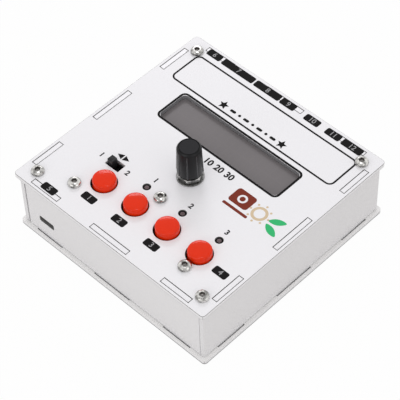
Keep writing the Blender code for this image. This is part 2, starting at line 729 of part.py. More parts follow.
def make_board_spacers(finishes):
    """Threaded spacers, each with a shank that is swaged into the control board."""
    height = BOARD_SPACER_HEIGHT - 2 * SEAT_GAP
    shank = BOARD_THICKNESS + SEAT_GAP
    profile = [
        (SCREW_HOLE_RADIUS, -shank),
        (BOARD_SPACER_SHANK_RADIUS, -shank),
        (BOARD_SPACER_SHANK_RADIUS, 0),
        (BOARD_SPACER_RADIUS, 0),
        (BOARD_SPACER_RADIUS, height),
        (SCREW_HOLE_RADIUS, height),
    ]
    spacer = turned(profile, PLAIN_SIDES, closed=True)
    data = mesh_data("board_spacer", spacer, finishes["brass"], True)
    for where, (x, y) in BOARD_SCREWS.items():
        place(f"board_spacer_{where}", data, (x, y, CONTROL_BOARD_HIGH + SEAT_GAP))


def pin_xs(first, count):
    return [first + PIN_PITCH * index for index in range(count)]


def header_strip(centre, count, high, height):
    """A pin header under a board: the plastic strip and the pins that reach down out of it."""
    x, y = centre
    first = x - PIN_PITCH * (count - 1) / 2
    strip = rectangle(PIN_PITCH * count, HEADER_WIDTH, centre)
    pieces = [(strip, high - height, high + BOARD_THICKNESS / 2)]
    sunk = height / 2
    for pin_x in pin_xs(first, count):
        pin = rectangle(PIN_WIDTH, PIN_WIDTH, (pin_x, y))
        pieces.append((pin, high - height - PIN_REACH, high - height + sunk))
    return pieces


def header_socket(centre, count):
    """Outer block and inner channel of the socket strip on the main board."""
    x, y = centre
    block = rectangle(PIN_PITCH * count, HEADER_WIDTH, centre)
    channel_length = PIN_PITCH * (count - 1) + PIN_WIDTH + 2 * PIN_GAP
    channel = rectangle(channel_length, PIN_WIDTH + 2 * PIN_GAP, centre)
    high = HEADER_SOCKET_HEIGHT - SEAT_GAP
    return block, channel, high


def display_header_centre():
    left = DISPLAY_PIN_FROM_LEFT - DISPLAY_BOARD_WIDTH / 2
    x = left + PIN_PITCH * (DISPLAY_PIN_COUNT - 1) / 2
    y = DISPLAY_Y + DISPLAY_BOARD_DEPTH / 2 - DISPLAY_PIN_FROM_BACK
    return (x, y)


def link_header_centre():
    return (LINK_X, CONTROL_BOARD_BACK - LINK_FROM_BACK)


def make_main_board(finishes):
    """The main board with its controller, sounder and two socket strips."""
    side = MAIN_BOARD_SIDE
    outline = rounded_rectangle(side, side, BOARD_CORNER_RADIUS)
    data = mesh_data("main_board", prisms((outline, 0, BOARD_THICKNESS)), finishes["board"])
    board = place("main_board", data, (0, 0, MAIN_BOARD_LOW))
    sunk = BOARD_THICKNESS / 2
    controller_y = CONTROLLER_FROM_FRONT - HALF_PLATE
    controller = rectangle(CONTROLLER_SIDE, CONTROLLER_SIDE, (0, controller_y))
    sounder_centre = (SOUNDER_X, DISPLAY_Y)
    sounder = circle(SOUNDER_RADIUS, CAP_SIDES, sounder_centre)
    blocks = [
        (controller, sunk, BOARD_THICKNESS + CONTROLLER_HEIGHT),
        (sounder, sunk, BOARD_THICKNESS + SOUNDER_HEIGHT),
    ]
    port_top = BOARD_THICKNESS + SOUNDER_HEIGHT
    port = circle(SOUNDER_PORT_RADIUS, PLAIN_SIDES, sounder_centre)
    cuts = [(port, port_top - SOUNDER_PORT_DEPTH, port_top + CUT_OVERRUN)]
    for centre, count in (
        (display_header_centre(), DISPLAY_PIN_COUNT),
        (link_header_centre(), LINK_PIN_COUNT),
    ):
        block, channel, high = header_socket(centre, count)
        blocks.append((block, sunk, BOARD_THICKNESS + high))
        floor = BOARD_THICKNESS + high - PIN_REACH - PIN_GAP
        cuts.append((channel, floor, BOARD_THICKNESS + high + CUT_OVERRUN))
    join(board, *blocks)
    for centre in CORNERS.values():
        hole = circle(SCREW_HOLE_RADIUS, PLAIN_SIDES, centre)
        cuts.append((hole, -CUT_OVERRUN, BOARD_THICKNESS + CUT_OVERRUN))
    cut(board, *cuts)


def make_control_board(finishes):
    depth = CONTROL_BOARD_BACK - CONTROL_BOARD_FRONT
    centre = (0, (CONTROL_BOARD_BACK + CONTROL_BOARD_FRONT) / 2)
    outline = rounded_rectangle(CONTROL_BOARD_WIDTH, depth, BOARD_CORNER_RADIUS, centre)
    solid = prisms((outline, 0, BOARD_THICKNESS))
    data = mesh_data("control_board", solid, finishes["board"])
    board = place("control_board", data, (0, 0, CONTROL_BOARD_LOW))
    strip_height = CONTROL_BOARD_LOW - MAIN_BOARD_HIGH - HEADER_SOCKET_HEIGHT
    strip = header_strip(link_header_centre(), LINK_PIN_COUNT, 0, strip_height)
    join(board, strip[0])
    join(board, *strip[1:])
    holes = []
    for spot in BOARD_SCREWS.values():
        hole = circle(BOARD_SPACER_SHANK_RADIUS + HOLE_GAP, PLAIN_SIDES, spot)
        holes.append((hole, -CUT_OVERRUN, BOARD_THICKNESS + CUT_OVERRUN))
    cut(board, *holes)


def make_display(finishes):
    """Display board with its header, the folded bezel, and the glass cell on its backlight."""
    spot = (0, DISPLAY_Y)
    outline = rounded_rectangle(
        DISPLAY_BOARD_WIDTH, DISPLAY_BOARD_DEPTH, BOARD_CORNER_RADIUS, spot
    )
    data = mesh_data("display_board", prisms((outline, 0, BOARD_THICKNESS)), finishes["board"])
    board = place("display_board", data, (0, 0, DISPLAY_BOARD_LOW))
    strip = header_strip(display_header_centre(), DISPLAY_PIN_COUNT, 0, HEADER_STRIP_HEIGHT)
    join(board, strip[0])
    join(board, *strip[1:])

    foot = DISPLAY_BOARD_HIGH + SEAT_GAP
    height = BEZEL_HIGH - foot
    shell = prisms((rectangle(BEZEL_WIDTH, BEZEL_DEPTH, spot), 0, height))
    bezel = place("display_bezel", mesh_data("display_bezel", shell, finishes["black"]), (0, 0, foot))
    break_edges(bezel, BEZEL_WALL / 2)
    inner = (BEZEL_WIDTH - 2 * BEZEL_WALL, BEZEL_DEPTH - 2 * BEZEL_WALL)
    inside = rectangle(*inner, spot)
    window = rectangle(
        WINDOW_WIDTH + 2 * BEZEL_WINDOW_MARGIN, WINDOW_DEPTH + 2 * BEZEL_WINDOW_MARGIN, spot
    )
    cut(bezel, (inside, -CUT_OVERRUN, height - BEZEL_WALL))
    cut(bezel, (window, 0, height + CUT_OVERRUN))

    cell = rectangle(inner[0] - 2 * DISPLAY_CELL_GAP, inner[1] - 2 * DISPLAY_CELL_GAP, spot)
    cell_height = height - BEZEL_WALL - DISPLAY_CELL_GAP
    data = mesh_data("display_glass", prisms((cell, 0, cell_height)), finishes["glass"])
    place("display_glass", data, (0, 0, foot))


def make_buttons(finishes):
    """Caps with their stems, and the switches that they press."""
    angles = even_angles(CAP_SIDES)
    flange_low = TOP_PLATE_LOW - CAP_FLANGE_GAP - CAP_FLANGE_HEIGHT
    high = TOP_PLATE_HIGH + CAP_ABOVE_PLATE - flange_low
    rings = [polar_ring(None, high - CAP_DISH_DEPTH, angles)]
    for step in range(ARC_STEPS):
        angle = math.pi / 2 * (1 - step / (ARC_STEPS - 1))
        radius = CAP_TOP_RADIUS - CAP_EDGE_RADIUS * (1 - math.cos(angle))
        drop = CAP_EDGE_RADIUS * (1 - math.sin(angle))
        rings.append(polar_ring(radius, high - drop, angles))

    def flange(angle):
        reach = abs(math.sin(angle))
        if reach * CAP_FLANGE_RADIUS > CAP_FLANGE_FLAT_FROM_AXIS:
            return CAP_FLANGE_FLAT_FROM_AXIS / reach
        return CAP_FLANGE_RADIUS

    inner = CAP_BASE_RADIUS - CAP_WALL
    roof = high - CAP_WALL
    rings += [
        polar_ring(CAP_BASE_RADIUS, CAP_FLANGE_HEIGHT, angles),
        polar_ring(flange, CAP_FLANGE_HEIGHT, angles),
        polar_ring(flange, 0, angles),
        polar_ring(inner, 0, angles),
        polar_ring(inner - CAP_EDGE_RADIUS, roof, angles),
        polar_ring(CAP_STEM_RADIUS, roof, angles),
        polar_ring(CAP_STEM_RADIUS, -CAP_STEM_LENGTH, angles),
        polar_ring(None, -CAP_STEM_LENGTH, angles),
    ]
    cap = mesh_data("button_cap", loft(rings), finishes["red"], True)

    foot = CONTROL_BOARD_HIGH + SEAT_GAP
    well_low = flange_low - CAP_STEM_LENGTH - BUTTON_TRAVEL - SEAT_GAP - foot
    body = cut_corner_rectangle(SWITCH_SIDE, SWITCH_SIDE, SWITCH_CORNER_CUT)
    switch = mesh_data("button_switch", prisms((body, 0, SWITCH_HEIGHT)), finishes["black"])
    well = circle(CAP_STEM_RADIUS + RUNNING_GAP, CAP_SIDES)
    for number, x in enumerate(BUTTON_XS, 1):
        place(f"button_cap_{number}", cap, (x, BUTTON_Y, flange_low))
        holder = place(f"button_switch_{number}", switch, (x, BUTTON_Y, foot))
        cut(holder, (well, well_low, SWITCH_HEIGHT + CUT_OVERRUN))


def make_slide_switch(finishes):
    """A housing whose guide rises into the window of the plate, and a lever with a foot under it."""
    foot = CONTROL_BOARD_HIGH + SEAT_GAP
    body_high = TOP_PLATE_LOW - SEAT_GAP - foot
    guide_high = TOP_PLATE_HIGH - SLIDE_GUIDE_BELOW_FACE - foot
    body = rectangle(SLIDE_HOUSING_WIDTH, SLIDE_HOUSING_DEPTH)
    guide = rectangle(SLIDE_WINDOW_WIDTH - 2 * SLOT_GAP, SLIDE_WINDOW_DEPTH - 2 * SLOT_GAP)
    data = mesh_data("slide_switch_housing", prisms((body, 0, body_high)), finishes["black"])
    housing = place("slide_switch_housing", data, (SLIDE_X, SLIDE_Y, foot))
    join(housing, (guide, body_high / 2, guide_high))
    foot_high = TOP_PLATE_LOW - LEVER_FOOT_BELOW_PLATE - foot
    foot_low = foot_high - LEVER_FOOT_HEIGHT
    hollow = rectangle(
        SLIDE_SLOT_WIDTH + 2 * LEVER_FOOT_OVERHANG, SLIDE_SLOT_DEPTH + 2 * LEVER_FOOT_OVERHANG
    )
    slot = rectangle(SLIDE_SLOT_WIDTH, SLIDE_SLOT_DEPTH)
    cut(housing, (hollow, foot_low - SEAT_GAP, foot_high + SEAT_GAP))
    cut(housing, (slot, foot_low, guide_high + CUT_OVERRUN))

    lever_high = TOP_PLATE_HIGH + LEVER_ABOVE_PLATE - foot
    stem = prisms((rectangle(LEVER_WIDTH, LEVER_DEPTH), foot_high, lever_high))
    data = mesh_data("slide_switch_lever", stem, finishes["black"])
    rest_x = SLIDE_X - SLIDE_TRAVEL / 2
    lever = place("slide_switch_lever", data, (rest_x, SLIDE_Y, foot))
    break_edges(lever, LEVER_EDGE_BREAK)
    plate_shape = rectangle(
        LEVER_WIDTH + 2 * LEVER_FOOT_OVERHANG, LEVER_DEPTH + 2 * LEVER_FOOT_OVERHANG
    )
    join(lever, (plate_shape, foot_low, foot_high + SEAT_GAP / 2))


def make_lights(finishes):
    """Round lamps with a low crown, a rim at the foot and two legs down to the board."""
    high = TOP_PLATE_HIGH - LIGHT_BELOW_FACE
    base = high - LIGHT_HEIGHT
    leg = base - CONTROL_BOARD_HIGH - SEAT_GAP
    profile = [(None, LIGHT_HEIGHT)]
    for step in range(1, ARC_STEPS + 1):
        angle = math.pi / 2 * (1 - step / ARC_STEPS)
        radius = LIGHT_RADIUS * math.cos(angle)
        height = LIGHT_HEIGHT - LIGHT_CROWN * (1 - math.sin(angle))
        profile.append((radius, height))
    profile += [
        (LIGHT_RADIUS, LIGHT_RIM_HEIGHT),
        (LIGHT_RIM_RADIUS, LIGHT_RIM_HEIGHT),
        (LIGHT_RIM_RADIUS, 0),
        (None, 0),
    ]
    lamp = mesh_data("indicator_light", turned(profile, SCREW_SIDES), finishes["light"], True)
    legs = [
        (rectangle(LIGHT_LEG_WIDTH, LIGHT_LEG_WIDTH, (side * LIGHT_LEG_PITCH / 2, 0)), -leg, leg / 2)
        for side in (-1, 1)
    ]
    for number, x in enumerate(LIGHT_XS, 1):
        light = place(f"indicator_light_{number}", lamp, (x, LIGHT_Y, base))
        join(light, *legs)


def make_encoder(finishes):
    """Encoder body and bush, the plunger that a push works, the shaft, the washer and the nut."""
    spot = (ENCODER_X, ENCODER_Y)
    foot = CONTROL_BOARD_HIGH + SEAT_GAP
    body_high = TOP_PLATE_LOW - SEAT_GAP - foot
    bush_high = TOP_PLATE_LOW + BUSH_LENGTH - foot
    body = cut_corner_rectangle(ENCODER_SIDE, ENCODER_SIDE, ENCODER_CORNER_CUT)
    data = mesh_data("encoder_body", prisms((body, 0, body_high)), finishes["nickel"])
    encoder = place("encoder_body", data, (*spot, foot))
    join(encoder, (circle(BUSH_RADIUS, CAP_SIDES), body_high / 2, bush_high))
    shaft_low = TOP_PLATE_LOW - SHAFT_FOOT_BELOW_PLATE
    well_low = shaft_low - PUSH_TRAVEL - SEAT_GAP - foot
    well = circle(SHAFT_RADIUS + RUNNING_GAP, CAP_SIDES)
    bore = circle(PLUNGER_RADIUS + SEAT_GAP, CAP_SIDES)
    cut(encoder, (well, well_low, bush_high + CUT_OVERRUN))
    cut(encoder, (bore, -CUT_OVERRUN, well_low + CUT_OVERRUN))

    plunger_high = shaft_low - SEAT_GAP
    profile = [
        (None, 0),
        (PLUNGER_RADIUS, 0),
        (PLUNGER_RADIUS, PLUNGER_LENGTH),
        (None, PLUNGER_LENGTH),
    ]
    plunger = mesh_data("encoder_plunger", turned(profile, PLAIN_SIDES), finishes["black"], True)
    place("encoder_plunger", plunger, (*spot, plunger_high - PLUNGER_LENGTH))

    angles = even_angles(CAP_SIDES)
    length = TOP_PLATE_LOW + SHAFT_LENGTH - shaft_low
    flat_low = SHAFT_FLAT_LOW - shaft_low
    flat = flatted(SHAFT_RADIUS, SHAFT_FLAT_FROM_AXIS)
    tip = flatted(SHAFT_RADIUS - SHAFT_TIP_BREAK, SHAFT_FLAT_FROM_AXIS)
    shaft = loft(
        [
            polar_ring(None, 0, angles),
            polar_ring(SHAFT_RADIUS, 0, angles),
            polar_ring(SHAFT_RADIUS, flat_low - SHAFT_TIP_BREAK, angles),
            polar_ring(flat, flat_low, angles),
            polar_ring(flat, length - SHAFT_TIP_BREAK, angles),
            polar_ring(tip, length, angles),
            polar_ring(None, length, angles),
        ]
    )
    data = mesh_data("encoder_shaft", shaft, finishes["nickel"], True)
    place("encoder_shaft", data, (*spot, shaft_low))

    washer_low = TOP_PLATE_HIGH + SEAT_GAP
    hole = BUSH_RADIUS + HOLE_GAP
    profile = [
        (hole, 0),
        (WASHER_RADIUS, 0),
        (WASHER_RADIUS, WASHER_THICKNESS),
        (hole, WASHER_THICKNESS),
    ]
    washer = turned(profile, FINE_SIDES, closed=True)
    data = mesh_data("encoder_washer", washer, finishes["nickel"], True)
    place("encoder_washer", data, (*spot, washer_low))

    hexagon = six_sided(NUT_ACROSS)
    blunt = NUT_ACROSS / 2

    def topped(angle):
        return min(hexagon(angle), blunt)

    nut = loft(
        [
            polar_ring(hole, 0, angles),
            polar_ring(hexagon, 0, angles),
            polar_ring(hexagon, NUT_HEIGHT - NUT_EDGE_BREAK, angles),
            polar_ring(topped, NUT_HEIGHT, angles),
            polar_ring(hole, NUT_HEIGHT, angles),
        ],
        closed=True,
    )
    nut_low = washer_low + WASHER_THICKNESS + SEAT_GAP
    place("encoder_nut", mesh_data("encoder_nut", nut, finishes["nickel"]), (*spot, nut_low))


def knob_angles():
    """Samples round the knob: four at each rib and four between it and the next."""
    angles = []
    pitch = math.tau / KNOB_RIB_COUNT
    foot = KNOB_RIB_WIDTH / 2 / KNOB_BASE_RADIUS
    crest = foot / 2
    for index in range(KNOB_RIB_COUNT):
        middle = KNOB_RIB_TURN + pitch * index
        gap = pitch - 2 * foot
        angles += [middle - foot, middle - crest, middle + crest, middle + foot]
        angles += [middle + foot + gap * step / (ARC_STEPS + 1) for step in range(1, ARC_STEPS + 1)]
    return angles


def make_knob(finishes):
    """A tapered knob with fine ribs up to its chamfer, a D bore and a recess that clears the bush."""
    angles = knob_angles()
    pitch = math.tau / KNOB_RIB_COUNT
    crest = KNOB_RIB_WIDTH / 2 / KNOB_BASE_RADIUS / 2
    slack = crest / 2

    def ribbed(radius):
        def radius_at(angle):
            off = (angle - KNOB_RIB_TURN + pitch / 2) % pitch - pitch / 2
            return radius + (KNOB_RIB_HEIGHT if abs(off) < crest + slack else 0)

        return radius_at

    bore_radius = SHAFT_RADIUS + KNOB_BORE_GAP
    bore = flatted(bore_radius, SHAFT_FLAT_FROM_AXIS + KNOB_BORE_GAP)
    bore_high = TOP_PLATE_LOW + SHAFT_LENGTH + KNOB_BORE_GAP - KNOB_LOW
    chamfer_low = KNOB_HEIGHT - KNOB_CHAMFER_DROP
    rib_high = chamfer_low - KNOB_RIB_BELOW_CHAMFER
    rings = [
        polar_ring(None, bore_high, angles),
        polar_ring(bore, bore_high, angles),
        polar_ring(bore, KNOB_RECESS_DEPTH, angles),
        polar_ring(KNOB_RECESS_RADIUS, KNOB_RECESS_DEPTH, angles),
        polar_ring(KNOB_RECESS_RADIUS, 0, angles),
        polar_ring(ribbed(KNOB_BASE_RADIUS), 0, angles),
        polar_ring(ribbed(KNOB_SHOULDER_RADIUS), rib_high, angles),
        polar_ring(KNOB_SHOULDER_RADIUS, rib_high, angles),
        polar_ring(KNOB_SHOULDER_RADIUS, chamfer_low, angles),
        polar_ring(KNOB_TOP_RADIUS, KNOB_HEIGHT, angles),
        polar_ring(None, KNOB_HEIGHT, angles),
    ]
    data = mesh_data("encoder_knob", loft(rings), finishes["black"], True)
    place("encoder_knob", data, (ENCODER_X, ENCODER_Y, KNOB_LOW))


def shell_socket(name, finishes, outer, inner, depth, floor, tongue, recess, location, turn):
    """A socket shell that is open at its mouth, with a tongue inside; the mouth is at local zero."""
    data = mesh_data(name, prisms((outer, -depth, 0)), finishes["nickel"])
    socket = place(name, data, location, turn)
    cut(socket, (inner, floor - depth, CUT_OVERRUN))
    join(socket, (tongue, floor / 2 - depth, -recess))


def make_sockets(finishes):
    """Micro USB sockets behind the walls, the host socket and the jacks in the back wall."""
    outer = cut_corner_rectangle(USB_WIDTH, USB_HEIGHT, USB_CORNER_CUT)
    inner = cut_corner_rectangle(
        USB_WIDTH - 2 * USB_SHELL_WALL, USB_HEIGHT - 2 * USB_SHELL_WALL, USB_CORNER_CUT
    )
    tongue = rectangle(USB_TONGUE_WIDTH, USB_TONGUE_HEIGHT)
    mouth = WALL_INNER - SEAT_GAP
    for name, x, y, turn in (
        ("front_usb_socket", FRONT_USB_X, -mouth, FACING_FRONT),
        ("rear_usb_socket", REAR_USB_X, mouth, FACING_BACK),
    ):
        floor = USB_TONGUE_RECESS
        sizes = (outer, inner, USB_DEPTH, floor, tongue, USB_TONGUE_RECESS)
        shell_socket(name, finishes, *sizes, (x, y, USB_Z), turn)

    outer = rectangle(HOST_WIDTH, HOST_HEIGHT)
    inner = rectangle(HOST_WIDTH - 2 * HOST_SHELL_WALL, HOST_HEIGHT - 2 * HOST_SHELL_WALL)
    roof = HOST_HEIGHT / 2 - HOST_SHELL_WALL - HOST_TONGUE_FROM_ROOF
    tongue = rectangle(HOST_TONGUE_WIDTH, HOST_TONGUE_HEIGHT, (0, roof - HOST_TONGUE_HEIGHT / 2))
    sizes = (outer, inner, HOST_DEPTH, HOST_TONGUE_RECESS, tongue, HOST_TONGUE_RECESS)
    spot = (HOST_X, WALL_OUTER - HOST_BELOW_FACE, HOST_Z)
    shell_socket("usb_host_socket", finishes, *sizes, spot, FACING_BACK)

    body_front = WALL_INNER - SEAT_GAP
    barrel_reach = WALL_OUTER - JACK_BELOW_FACE - body_front
    block = prisms((rectangle(JACK_WIDTH, JACK_HEIGHT), -JACK_DEPTH, 0))
    data = mesh_data("jack", block, finishes["black"])
    barrel = circle(JACK_BARREL_RADIUS, SCREW_SIDES)
    bore = circle(JACK_BORE_RADIUS, SCREW_SIDES)
    for number, x in enumerate(JACK_XS, 1):
        jack = place(f"jack_{number}", data, (x, body_front, JACK_Z), FACING_BACK)
        join(jack, (barrel, -JACK_DEPTH / 2, barrel_reach))
        cut(jack, (bore, JACK_BORE_FLOOR - JACK_DEPTH, barrel_reach + CUT_OVERRUN))


def main():
    clear_scene()
    finishes = make_finishes()
    make_top_plate(finishes)
    make_bottom_plate(finishes)
    make_walls(finishes)
    make_screws(finishes)
    make_corner_stacks(finishes)
    make_board_spacers(finishes)
    make_main_board(finishes)
    make_control_board(finishes)
    make_display(finishes)
    make_buttons(finishes)
    make_slide_switch(finishes)
    make_lights(finishes)
    make_encoder(finishes)
    make_knob(finishes)
    make_sockets(finishes)


main()
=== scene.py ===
"""Dresses a flat square desk keyer: its panels, print, controls, display, sockets, light and camera."""

import json
import math

import bmesh
import bpy
from bpy.props import FloatProperty, FloatVectorProperty, IntProperty, PointerProperty
from mathutils import Euler, Matrix, Vector

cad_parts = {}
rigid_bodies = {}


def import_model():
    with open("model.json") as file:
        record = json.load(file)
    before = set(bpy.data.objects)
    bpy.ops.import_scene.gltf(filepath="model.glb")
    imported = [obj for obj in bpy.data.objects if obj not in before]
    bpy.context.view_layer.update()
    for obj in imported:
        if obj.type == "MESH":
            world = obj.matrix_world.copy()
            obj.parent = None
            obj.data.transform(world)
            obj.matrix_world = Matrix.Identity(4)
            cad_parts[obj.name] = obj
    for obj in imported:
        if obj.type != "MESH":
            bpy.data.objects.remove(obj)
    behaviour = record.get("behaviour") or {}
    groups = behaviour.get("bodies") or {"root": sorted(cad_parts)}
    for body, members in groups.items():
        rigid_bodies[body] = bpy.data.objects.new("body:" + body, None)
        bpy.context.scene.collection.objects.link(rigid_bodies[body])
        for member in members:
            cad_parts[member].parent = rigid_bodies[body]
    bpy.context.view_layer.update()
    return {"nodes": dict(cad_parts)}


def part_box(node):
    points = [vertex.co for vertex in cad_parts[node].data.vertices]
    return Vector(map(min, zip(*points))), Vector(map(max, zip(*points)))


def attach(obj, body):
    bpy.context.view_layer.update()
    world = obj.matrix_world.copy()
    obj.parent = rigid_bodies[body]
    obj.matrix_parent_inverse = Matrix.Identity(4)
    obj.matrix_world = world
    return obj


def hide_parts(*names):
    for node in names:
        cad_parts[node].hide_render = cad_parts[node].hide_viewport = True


bl_info = {
    "name": "Desk Keyer Dresser",
    "version": (1, 0, 0),
    "blender": (4, 5, 0),
    "location": "View3D > Sidebar > Keyer",
    "description": "Builds the fine surface, the print and the studio round a desk keyer's solids",
    "category": "Object",
}

MM = 0.001
# Points closer together than this, in metres, become one
WELD = 1e-7
FINE_WELD = 1e-8
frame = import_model()
FLAT = (0, 0, 0)
FACING_FRONT = (math.pi / 2, 0, 0)
FACING_BACK = (math.pi / 2, 0, math.pi)
FACING_LEFT = (math.pi / 2, 0, -math.pi / 2)
FACING_RIGHT = (math.pi / 2, 0, math.pi / 2)
UPSIDE_DOWN = (math.pi, 0, 0)


def low(node):
    """The lowest corner of a node's box."""
    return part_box(node)[0]


def high(node):
    """The highest corner of a node's box."""
    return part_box(node)[1]


def middle(node):
    return (low(node) + high(node)) / 2


def span(node):
    return high(node) - low(node)


def like_nodes(stem, places):
    """The names of like nodes, one for each place."""
    return [f"{stem}_{place}" for place in places]


CORNERS = ("front_left", "front_right", "back_left", "back_right")
BOARD_SPOTS = ("left", "middle", "right")
CORNER_SCREWS = like_nodes("top_screw", CORNERS)
BOARD_SCREWS = like_nodes("board_screw", BOARD_SPOTS)
UNDER_SCREWS = like_nodes("bottom_screw", CORNERS)
CAPS = like_nodes("button_cap", range(1, 5))
LIGHTS = like_nodes("indicator_light", range(1, 4))
JACKS = like_nodes("jack", range(1, 6))
TOP_FACE = high("top_plate").z
PLATE = span("top_plate").x
SHEET = span("top_plate").z
WALL_OUTER = high("right_wall").x
ENCODER = middle("encoder_shaft")
SLIDE = middle("slide_switch_housing")
DISPLAY = middle("display_glass")


# Outlines, in the plane of a sheet


QUARTERS = ((-1, -1), (1, -1), (1, 1), (-1, 1))


def polar(centre, radius, angle):
    """The point at this distance and angle from a centre."""
    return (centre[0] + radius * math.cos(angle), centre[1] + radius * math.sin(angle))


def circle(radius, sides=64, centre=(0, 0)):
    return [polar(centre, radius, math.tau * step / sides) for step in range(sides)]


def rectangle(width, depth, centre=(0, 0)):
    return [(centre[0] + width / 2 * x, centre[1] + depth / 2 * y) for x, y in QUARTERS]


def rounded(width, depth, radius, centre=(0, 0), steps=8):
    """A rectangle with round corners."""
    points = []
    for quarter, (x, y) in enumerate(QUARTERS):
        corner = (centre[0] + x * (width / 2 - radius), centre[1] + y * (depth / 2 - radius))
        for step in range(steps + 1):
            points.append(polar(corner, radius, math.pi + math.pi / 2 * (quarter + step / steps)))
    return points


def star(radius, centre, notch=0.46):
    """A star with five points; the notch is a share of the radius."""
    reaches = (radius, radius * notch)
    return [polar(centre, reaches[step % 2], math.pi / 2 + math.pi / 5 * step) for step in range(10)]


def leaf(centre, lean, half_length, half_width, steps=40):
    """An oval that narrows towards its two tips, and leans by an angle."""
    points = []
    for step in range(steps):
        angle = math.tau * step / steps
        along = half_length * math.cos(angle)
        beside = half_width * math.sin(angle) * (1 - 0.35 * math.cos(angle) ** 2)
        points.append(
            (
                centre[0] + along * math.cos(lean) - beside * math.sin(lean),
                centre[1] + along * math.sin(lean) + beside * math.cos(lean),
            )
        )
    return points


# Meshes


def mesh_data(name, mesh):
    """Mesh data with the shape of a bmesh, which is freed."""
    data = bpy.data.meshes.new(name)
    mesh.to_mesh(data)
    mesh.free()
    return data


def linked(name, data):
    """A new object of this data, in the scene."""
    obj = bpy.data.objects.new(name, data)
    bpy.context.scene.collection.objects.link(obj)
    return obj


def raw_object(name, mesh):
    """A helper object with the shape of a bmesh."""
    return linked(name, mesh_data(name, mesh))


def evaluated(obj):
    """The evaluated bmesh of a helper object, which is removed with the tools that cut it."""
    bpy.context.view_layer.update()
    graph = bpy.context.evaluated_depsgraph_get()
    data = bpy.data.meshes.new_from_object(obj.evaluated_get(graph))
    tools = [modifier.object for modifier in obj.modifiers if modifier.type == "BOOLEAN"]
    obj.modifiers.clear()
    for helper in tools + [obj]:
        bpy.data.objects.remove(helper)
    mesh = bmesh.new()
    mesh.from_mesh(data)
    bpy.data.meshes.remove(data)
    for face in mesh.faces:
        face.material_index = 0
    return mesh


def sheet_mesh(outlines, thickness, edge, round_steps=0):
    """A sheet whose middle plane is at zero; the outlines inside the first are its holes."""
    curve = bpy.data.curves.new("sheet", "CURVE")
    curve.dimensions = "2D"
    curve.fill_mode = "BOTH"
    curve.extrude = thickness / 2 - edge
    curve.bevel_depth = edge
    curve.bevel_resolution = round_steps
    curve.offset = -edge
    for outline in outlines:
        spline = curve.splines.new("POLY")
        spline.points.add(len(outline) - 1)
        for point, (x, y) in zip(spline.points, outline):
            point.co = (x, y, 0, 1)
        spline.use_cyclic_u = True
    return mesh_of(curve)


def mesh_of(curve):
    """A welded bmesh of a curve or of a line of text."""
    mesh = evaluated(linked("carrier", curve))
    bmesh.ops.remove_doubles(mesh, verts=mesh.verts, dist=WELD)
    bmesh.ops.recalc_face_normals(mesh, faces=mesh.faces)
    return mesh


def turned_mesh(profile, sides=64, closed=False):
    """A profile of (radius, height) pairs turned round Z. The radius may be a function of the angle."""
    mesh = bmesh.new()
    rings = []
    for radius, height in profile:
        if radius == 0:
            rings.append([mesh.verts.new((0, 0, height))])
            continue
        ring = []
        for step in range(sides):
            angle = math.tau * step / sides
            reach = radius(angle) if callable(radius) else radius
            ring.append(mesh.verts.new((*polar((0, 0), reach, angle), height)))
        rings.append(ring)
    pairs = list(zip(rings, rings[1:])) + ([(rings[-1], rings[0])] if closed else [])
    for first, second in pairs:
        for step in range(sides):
            after = (step + 1) % sides
            corners = [first[step % len(first)], first[after % len(first)]]
            corners += [second[after % len(second)], second[step % len(second)]]
            mesh.faces.new(list(dict.fromkeys(corners)))
    bmesh.ops.remove_doubles(mesh, verts=mesh.verts, dist=WELD)
    bmesh.ops.recalc_face_normals(mesh, faces=mesh.faces)
    return mesh


def arc(centre, radius, start, end, steps):
    """Profile points on an arc, given by its centre as (radius, height) and by angles in degrees."""
    angles = [math.radians(start + (end - start) * step / steps) for step in range(steps + 1)]
    return [polar(centre, radius, angle) for angle in angles]


def hexagon(across, blunt=None):
    """The polar radius of a hexagon, with its corners turned down to the radius blunt."""

    def radius_at(angle):
        reach = across / 2 / math.cos(angle % (math.pi / 3) - math.pi / 6)
        return min(reach, blunt) if blunt else reach

    return radius_at


def block_mesh(width, depth, height, edge, centre=(0, 0, 0)):
    """A block with small rounds on all its edges."""
    mesh = bmesh.new()
    bmesh.ops.create_cube(mesh, size=1)
    bmesh.ops.scale(mesh, vec=(width, depth, height), verts=mesh.verts)
    bmesh.ops.bevel(mesh, geom=mesh.edges, offset=edge, segments=3, profile=0.5, affect="EDGES")
    bmesh.ops.translate(mesh, vec=centre, verts=mesh.verts)
    return mesh


def merged(*meshes):
    """One bmesh that holds several."""
    whole = bmesh.new()
    for mesh in meshes:
        data = mesh_data("part", mesh)
        whole.from_mesh(data)
        bpy.data.meshes.remove(data)
    return whole


def moved(mesh, location=(0, 0, 0), turn=FLAT):
    """The same mesh, turned and then moved."""
    place = Matrix.Translation(location) @ Euler(turn).to_matrix().to_4x4()
    bmesh.ops.transform(mesh, matrix=place, verts=mesh.verts)
    return mesh


def carved(mesh, *cutters):
    """The mesh less each cutter."""
    target = raw_object("target", mesh)
    for number, cutter in enumerate(cutters):
        modifier = target.modifiers.new(f"cut {number}", "BOOLEAN")
        modifier.object = raw_object("tool", cutter)
        modifier.operation = "DIFFERENCE"
        modifier.solver = "EXACT"
    return evaluated(target)


def settle(name, mesh, materials, body, replaces=(), location=(0, 0, 0), turn=FLAT, sharp=35):
    """Makes the finished piece at the origin, with its place in its mesh, and joins it to its body."""
    data = mesh_data(name, moved(mesh, location, turn))
    for material in materials if isinstance(materials, (list, tuple)) else [materials]:
        data.materials.append(material)
    data.shade_smooth()
    data.set_sharp_from_angle(angle=math.radians(sharp))
    obj = linked(name, data)
    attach(obj, body)
    if replaces:
        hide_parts(*replaces)


# Shader maths


